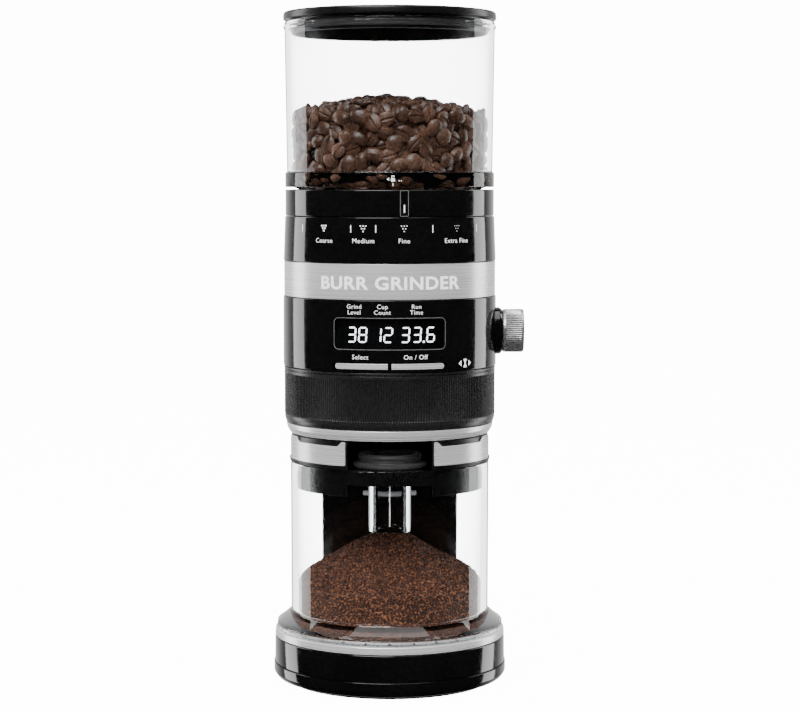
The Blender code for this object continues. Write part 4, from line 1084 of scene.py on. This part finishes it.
def bean_places():
    """Beans near the glass and at the surface, pushed apart for a fixed number of rounds."""
    rng = np.random.default_rng(11)
    tries = BEANS * 5
    across = 55.0 * np.sqrt(rng.random(tries))
    angle = rng.random(tries) * 2 * math.pi
    z = rng.uniform(BEAN_FLOOR, 350, tries)
    keep = (z < heap_top(across) - 2) & (across < bean_limit(z))
    keep &= (across > 37) | (z > heap_top(across) - 15)
    spots = np.stack([across * np.cos(angle), across * np.sin(angle), z], 1)[keep][:BEANS]
    for _ in range(BEAN_ROUNDS):
        gap = spots[:, None, :] - spots[None, :, :]
        distance = np.sqrt((gap ** 2).sum(2)) + 1e-6
        np.fill_diagonal(distance, 99)
        push = np.clip(BEAN_SPACING - distance, 0, None) / distance * 0.25
        spots += (gap * push[:, :, None]).sum(1)
        spots[:, 2] = np.maximum(spots[:, 2], BEAN_FLOOR)
        across = np.hypot(spots[:, 0], spots[:, 1]) + 1e-6
        shrink = np.minimum(1, bean_limit(spots[:, 2]) / across)
        spots[:, 0] *= shrink
        spots[:, 1] *= shrink
        across = across * shrink
        over = spots[:, 2] - heap_top(across) - rng.uniform(-1, 2.5, len(spots))
        spots[:, 2] -= np.clip(over, 0, None) * 0.6
    return spots


def beans():
    rng = np.random.default_rng(5)
    kinds = [as_mesh("bean", bean_bmesh(seed)) for seed in range(BEAN_KINDS)]
    places = []
    for spot in bean_places():
        middle = Vector(spot.tolist())
        out = Vector((middle.x, middle.y, 0)).normalized()
        if middle.to_2d().length < 46:
            out = (out * rng.uniform(-1, 1) + Vector((0, 0, 1))).normalized()
        face = (out + Vector(rng.uniform(-0.25, 0.25, 3).tolist())) * (1 if rng.random() < 0.5 else -1)
        turn = face.to_track_quat("Z", "Y").to_matrix().to_4x4()
        spin = Matrix.Rotation(rng.uniform(0, 2 * math.pi), 4, "Z")
        places.append(Matrix.Translation(middle * MM) @ turn @ spin)
    fit(scattered("beans", kinds, places, rng), "hopper", "bean")


def scattered(name, kinds, places, rng):
    """One piece from many copies of a few small meshes."""
    whole = bmesh.new()
    for place in places:
        copy = kinds[int(rng.integers(len(kinds)))].copy()
        copy.transform(place)
        whole.from_mesh(copy)
        bpy.data.meshes.remove(copy)
    return as_piece(name, whole)


# ---------------------------------------------------------------- jar, its lid and the grounds

def jar():
    wide = JAR_WALL
    foot, bottom, rim = round_size("grounds_jar")
    floor = bottom + 7.8
    section = [(0, floor), (wide - 2.6, floor, 4.0), (wide - 2.6, rim, 0.8), (wide, rim, 0.8),
               (wide, rim - 6), (wide - 0.2, floor + 2.5, 3.0), (foot - 2.6, bottom + 5.0, 1.2),
               (foot, bottom + 3.4, 0.5), (foot, bottom + 2.2, 0.4), (foot - 1.8, bottom + 3.0, 0.4),
               (wide - 2.4, floor - 2.2, 1.5), (wide - 6.0, floor - 2.2, 0.8),
               (wide - 7.5, bottom + 1.6, 0.8), (0, bottom + 1.6)]
    fit(turned("jar_clear", section), "jar", "clear", "grounds_jar")
    foot_ribs(wide, foot, bottom)


def foot_ribs(wide, foot, bottom):
    """Stiffening ribs under the foot's flare: radial plates joined by a low ring."""
    ribs = bmesh.new()
    for i in range(FOOT_RIBS):
        made = bmesh.ops.create_cube(ribs, size=1)["verts"]
        bmesh.ops.scale(ribs, vec=((foot - wide + 2) * MM, 1.7 * MM, 3.6 * MM), verts=made)
        for vert in made:
            if vert.co.x > 0 and vert.co.z > 0:
                vert.co.z -= 2.4 * MM
        bmesh.ops.translate(ribs, vec=((foot + wide - 4) / 2 * MM, 0, (bottom + 2.4) * MM), verts=made)
        turn = Matrix.Rotation(2 * math.pi * (i + 0.5) / FOOT_RIBS, 3, "Z")
        bmesh.ops.rotate(ribs, cent=(0, 0, 0), matrix=turn, verts=made)
    bmesh.ops.bevel(ribs, geom=ribs.edges[:], offset=0.3 * MM, segments=2, profile=0.5, affect="EDGES",
                    material=-1)
    fit(as_piece("jar_foot_ribs", ribs), "jar", "frosted")
    fit(turned("jar_foot_rim", [(foot - 0.2, bottom + 0.2, 0.3), (foot - 0.2, bottom + 1.6, 0.5),
                                (foot - 2.2, bottom + 2.4, 0.5), (foot - 2.2, bottom + 0.2, 0.3)]),
        "jar", "frosted")


def grounds_height(across, angle):
    """Surface of the heap: a soft cone with slight slumps."""
    cone = 92.0 - 32.0 * math.sqrt((across / 54.0) ** 2 + 0.012)
    place = Vector((across * math.cos(angle), across * math.sin(angle), 0))
    return cone + 1.5 * noise.noise(place / 19) + 0.7 * noise.noise(place / 6)


def grounds():
    floor = low("grounds_jar").z + 8.1
    bm = bmesh.new()
    rings = [HEAP_RADIUS * (i / HEAP_RINGS) for i in range(HEAP_RINGS + 1)]
    verts = [bm.verts.new((r * MM, 0, 0)) for r in rings]
    verts.append(bm.verts.new((HEAP_RADIUS * MM, 0, floor * MM)))
    verts.append(bm.verts.new((0, 0, floor * MM)))
    edges = [bm.edges.new(pair) for pair in zip(verts, verts[1:])]
    bmesh.ops.spin(bm, geom=verts + edges, cent=(0, 0, 0), axis=(0, 0, 1), angle=2 * math.pi, steps=300,
                   use_merge=True)
    bmesh.ops.remove_doubles(bm, verts=bm.verts, dist=1e-7)
    for vert in bm.verts:
        across = math.hypot(vert.co.x, vert.co.y) / MM
        if vert.co.z < floor * MM / 2:
            vert.co.z = grounds_height(across, math.atan2(vert.co.y, vert.co.x)) * MM
            place = vert.co / MM
            vert.co.z += (0.55 * noise.noise(place * 1.3) + 0.35 * noise.noise(place * 3.1)) * MM
    bmesh.ops.recalc_face_normals(bm, faces=bm.faces)
    heap = as_piece("ground_coffee_heap", bm)
    heap.data.shade_smooth()
    fit(heap, "jar", "grounds")
    grains()


def grains():
    """Loose coarse grains over the heap's surface."""
    rng = np.random.default_rng(23)
    bm = bmesh.new()
    bmesh.ops.create_icosphere(bm, subdivisions=1, radius=MM)
    mesh = as_mesh("grain", bm)
    places = []
    for _ in range(GRAINS):
        across = (HEAP_RADIUS - 1) * math.sqrt(rng.random())
        angle = rng.random() * 2 * math.pi
        size = rng.uniform(0.25, 0.62)
        spot = Vector((across * math.cos(angle), across * math.sin(angle),
                       grounds_height(across, angle) + 0.25))
        shape = Matrix.Diagonal((size * rng.uniform(0.6, 1.4), size, size * rng.uniform(0.5, 1.0), 1))
        turn = Euler(tuple(rng.uniform(0, 6.28, 3))).to_matrix().to_4x4()
        places.append(Matrix.Translation(spot * MM) @ turn @ shape)
    fit(scattered("ground_coffee_grains", [mesh], places, rng), "jar", "grounds")


def jar_lid():
    wide, top = JAR_WALL, high("jar_lid").z
    rim = high("grounds_jar").z + 0.3
    skirt = wide - 3.0
    bottom = low("jar_lid").z
    shelf = low("chute_boot").z - 0.3
    section = [(0, top), (wide - 0.7, top, 0.8), (wide, top - 3, 0.5), (wide, rim + 2.3),
               (wide + 0.6, rim + 2.1, 0.3), (wide + 0.7, rim + 1.2, 0.3), (wide + 0.1, rim + 0.9, 0.2),
               (wide + 0.6, rim + 0.6, 0.2), (wide + 0.5, rim, 0.3), (skirt, rim), (skirt, bottom, 0.6),
               (skirt - 2, bottom, 0.6), (skirt - 2, shelf - 2.5), (0, shelf - 2.5)]
    body = turned("jar_lid_fine", section)
    spout_y = (low("clear_spout").y + high("clear_spout").y) / 2
    flange = high("chute_boot").x
    hole_place = Matrix.Translation((0, spout_y * MM, 0))
    carve(body,
          turned("lid_hollow", [(0, top - 2.5), (skirt - 2, top - 2.5), (skirt - 2, shelf), (0, shelf)]),
          block("lid_notch_room", (-NOTCH_HALF, -80, rim - 0.3),
                (NOTCH_HALF, spout_y + flange + 1, top + 10), 0),
          block("skirt_gap", (-NOTCH_HALF, -80, bottom - 5), (NOTCH_HALF, spout_y - 2, shelf - 2.5), 0),
          turned("lid_hole", [(0, shelf + 8), (SPOUT_HOLE, shelf + 8), (SPOUT_HOLE, shelf - 12),
                              (0, shelf - 12)], 72, hole_place))
    fit(body, "jar_lid", "satin_black", "jar_lid")

    for side, node in ((-1, "collar_trim_left"), (1, "collar_trim_right")):
        ends = [round_length(a, wide) * side for a in (25.4, 27.6, 30.2, 62.5, 66.0, 76.0)]
        low_z, scoop, lip = rim + 2.3, top - 3.0, top - 0.3
        outline = rounded([(ends[0], low_z, 0.8), (ends[5], low_z, 0.8), (ends[5], lip, 1.0),
                           (ends[4], lip, 1.2), (ends[3], scoop, 3.0), (ends[2], scoop, 2.0),
                           (ends[1], lip - 0.1, 1.0), (ends[0], lip, 0.8)])
        piece = wrapped(node + "_fine", [outline], upright(wide), 0.1, 0.95)
        soft_edge(piece, 0.3)
        fit(piece, "jar_lid", "brushed_bright", node)
    boot(spout_y)
    spout(spout_y)


def boot(spout_y):
    bottom, top = heights("chute_boot")
    flange = high("chute_boot").x
    upper = flange - 2.4
    rest = high("grounds_jar").z + 0.6
    corners = [(12.9, bottom), (18.6, bottom, 0.8), (18.6, rest - 0.6), (flange - 1.2, rest - 0.6, 0.4),
               (flange, rest + 0.4, 0.5), (flange, rest + 1.7, 0.5), (flange - 1.2, rest + 2.3, 0.5),
               (upper - 0.9, rest + 2.7, 0.4), (upper - 1.3, rest + 3.4, 0.3),
               (upper - 0.7, rest + 3.9, 0.2), (upper - 1.3, rest + 4.5, 0.2),
               (upper - 0.6, rest + 5.0, 0.3), (upper, top - 1.4, 0.9), (upper - 1.2, top, 0.8),
               (15.6, top, 0.6), (15.6, bottom + 3.8, 0.4), (12.9, bottom + 3.8)]
    piece = turned("chute_boot_soft", corners, 120, Matrix.Translation((0, spout_y * MM, 0)))
    fit(piece, "jar_lid", "silicone", "chute_boot")


def spout(spout_y):
    bottom, top = heights("clear_spout")
    lip = high("clear_spout").x
    tube = SPOUT_WALL
    place = Matrix.Translation((0, spout_y * MM, 0))
    piece = turned("clear_spout_fine", [(lip, top, 0.4), (lip, top - 2.1, 0.4), (tube, top - 2.1, 0.5),
                                        (tube, bottom + 4.5, 0.3), (tube - 0.3, bottom, 0.5),
                                        (tube - 1.6, bottom, 0.5), (tube - 1.8, bottom + 4.5, 0.3),
                                        (tube - 1.8, top, 0.4)], 96, place)
    for vert in piece.data.vertices:
        if vert.co.z < (bottom + 3) * MM:
            across = vert.co.x / (tube * MM)
            vert.co.z += 1.6 * MM * (1 - across ** 2)
    fit(piece, "jar_lid", "clear", "clear_spout")
    seam_y = spout_y - tube
    fit(block("spout_seam", (-0.25, seam_y - 0.25, bottom + 5), (0.25, seam_y + 0.4, top - 6), 0.12),
        "jar_lid", "clear")


# ---------------------------------------------------------------- pieces kept from the frame

KEPT = {
    "matte_black": ("head_chassis", "lcd_module", "knob_encoder", "motor_magnet_left",
                    "motor_magnet_right", "chute_duct", "hopper_gate", "hopper_shutter"),
    "steel": ("gearbox_lower_plate", "gearbox_upper_plate", "lower_bearing", "upper_bearing",
              "cluster_shaft", "gearbox_post_1", "gearbox_post_2", "motor_can", "outer_burr",
              "burr_shaft", "cone_burr", "motor_shaft"),
    "nylon": ("grind_chamber", "burr_carrier", "drive_gear", "sweeper", "cluster_gear"),
    "board": ("power_board", "display_board"),
    "copper": ("motor_rotor",),
    "brass": ("motor_pinion",),
}


def kept_nodes():
    for look, nodes in KEPT.items():
        for node in nodes:
            piece = frame["nodes"][node]
            piece.data.materials.clear()
            piece.data.materials.append(LOOKS[look])


# ---------------------------------------------------------------- studio

def seen_directly(tree):
    """1 for rays from the eye, straight or through clear plastic, and 0 for all others."""
    rays = tree.nodes.new("ShaderNodeLightPath").outputs
    return maths(tree, "MAXIMUM", rays["Is Camera Ray"], rays["Is Transmission Ray"])


def floor_sheet():
    """White sheet that glows like a lit studio sweep for the eye, and isn't there in reflections."""
    bm = bmesh.new()
    bmesh.ops.create_grid(bm, x_segments=8, y_segments=8, size=6.0)
    sheet = as_piece("floor_sheet", bm)
    look = Shader("floor_paper")
    look.smudged(8.0, (0.48, 0.48, 0.48), (0.5, 0.5, 0.5), (0.7, 0.8))
    glow = look.add("ShaderNodeMapRange")
    glow.inputs["To Min"].default_value = 0.02
    glow.inputs["To Max"].default_value = WHITE
    look.links.new(seen_directly(look.tree), glow.inputs["Value"])
    look.links.new(glow.outputs["Result"], look.main.inputs["Emission Strength"])
    look.main.inputs["Emission Color"].default_value = (1, 1, 1, 1)
    through_for(look, mirrored_only(look), (1, 1, 1))
    sheet.data.materials.append(look.material)


def beside(angle, distance, z):
    """Place at an angle round from the front."""
    turn = math.radians(angle)
    return distance * math.sin(turn), -distance * math.cos(turn), z


def softbox(name, place, aim, width, height, power):
    """Rectangular light that faces the place it is aimed at."""
    light = bpy.data.lights.new(name, "AREA")
    light.shape = "RECTANGLE"
    light.size, light.size_y = width, height
    light.energy = power
    lamp = bpy.data.objects.new(name, light)
    lamp.location = place
    lamp.rotation_euler = (Vector(aim) - lamp.location).to_track_quat("-Z", "Y").to_euler()
    lamp.visible_camera = False
    bpy.context.scene.collection.objects.link(lamp)


def world():
    """White studio for the eye, soft light, and a mirror image that is dark in front."""
    around = bpy.data.worlds.new("studio")
    around.use_nodes = True
    bpy.context.scene.world = around
    nodes, links = around.node_tree.nodes, around.node_tree.links
    back = nodes["Background"]
    where = nodes.new("ShaderNodeTexCoord")
    split = nodes.new("ShaderNodeSeparateXYZ")
    links.new(where.outputs["Generated"], split.inputs[0])
    depth = nodes.new("ShaderNodeMapRange")
    for key, value in {"From Min": 0.55, "From Max": 1.0, "To Min": MIRROR_FRONT,
                       "To Max": MIRROR_BACK}.items():
        depth.inputs[key].default_value = value
    links.new(split.outputs["Y"], depth.inputs["Value"])
    path = nodes.new("ShaderNodeLightPath")
    soft = nodes.new("ShaderNodeMix")
    soft.inputs["A"].default_value = SOFT_LIGHT
    links.new(path.outputs["Is Glossy Ray"], soft.inputs["Factor"])
    links.new(depth.outputs["Result"], soft.inputs["B"])
    choose = nodes.new("ShaderNodeMix")
    choose.inputs["B"].default_value = WHITE
    links.new(seen_directly(around.node_tree), choose.inputs["Factor"])
    links.new(soft.outputs["Result"], choose.inputs["A"])
    links.new(choose.outputs["Result"], back.inputs["Strength"])
    back.inputs["Color"].default_value = (1, 1, 1, 1)


def studio():
    floor_sheet()
    world()
    for name, angle in (("strip_left", -113.5), ("strip_right", 113.5)):
        softbox(name, beside(angle, 1.1, 0.3), (0, 0, 0.3), 0.42, 1.5, 9.0)
    softbox("overhead", (0, -0.1, 1.5), (0, -0.1, 0), 1.2, 1.2, 14.0)
    softbox("key", beside(-20, 1.5, 1.75), (0, 0, 0.2), 1.3, 1.0, 40.0)


def camera():
    """Straight on, a little above the grinder's middle, tipped slightly down."""
    lens = bpy.data.cameras.new("camera")
    lens.lens = CAMERA_LENS
    lens.sensor_width = 36
    lens.shift_x = CAMERA_SHIFT
    view = bpy.data.objects.new("camera", lens)
    view.location = CAMERA_PLACE
    view.rotation_euler = (math.radians(CAMERA_TIP), 0, 0)
    bpy.context.scene.collection.objects.link(view)
    bpy.context.scene.camera = view


for part in (camera, studio, base, cord_gland, spine, head_shells, scale_print, band_lettering,
             display, display_print, buttons, control_ring, knob, grind_ring, hopper, beans, jar,
             grounds, jar_lid, kept_nodes):
    part()
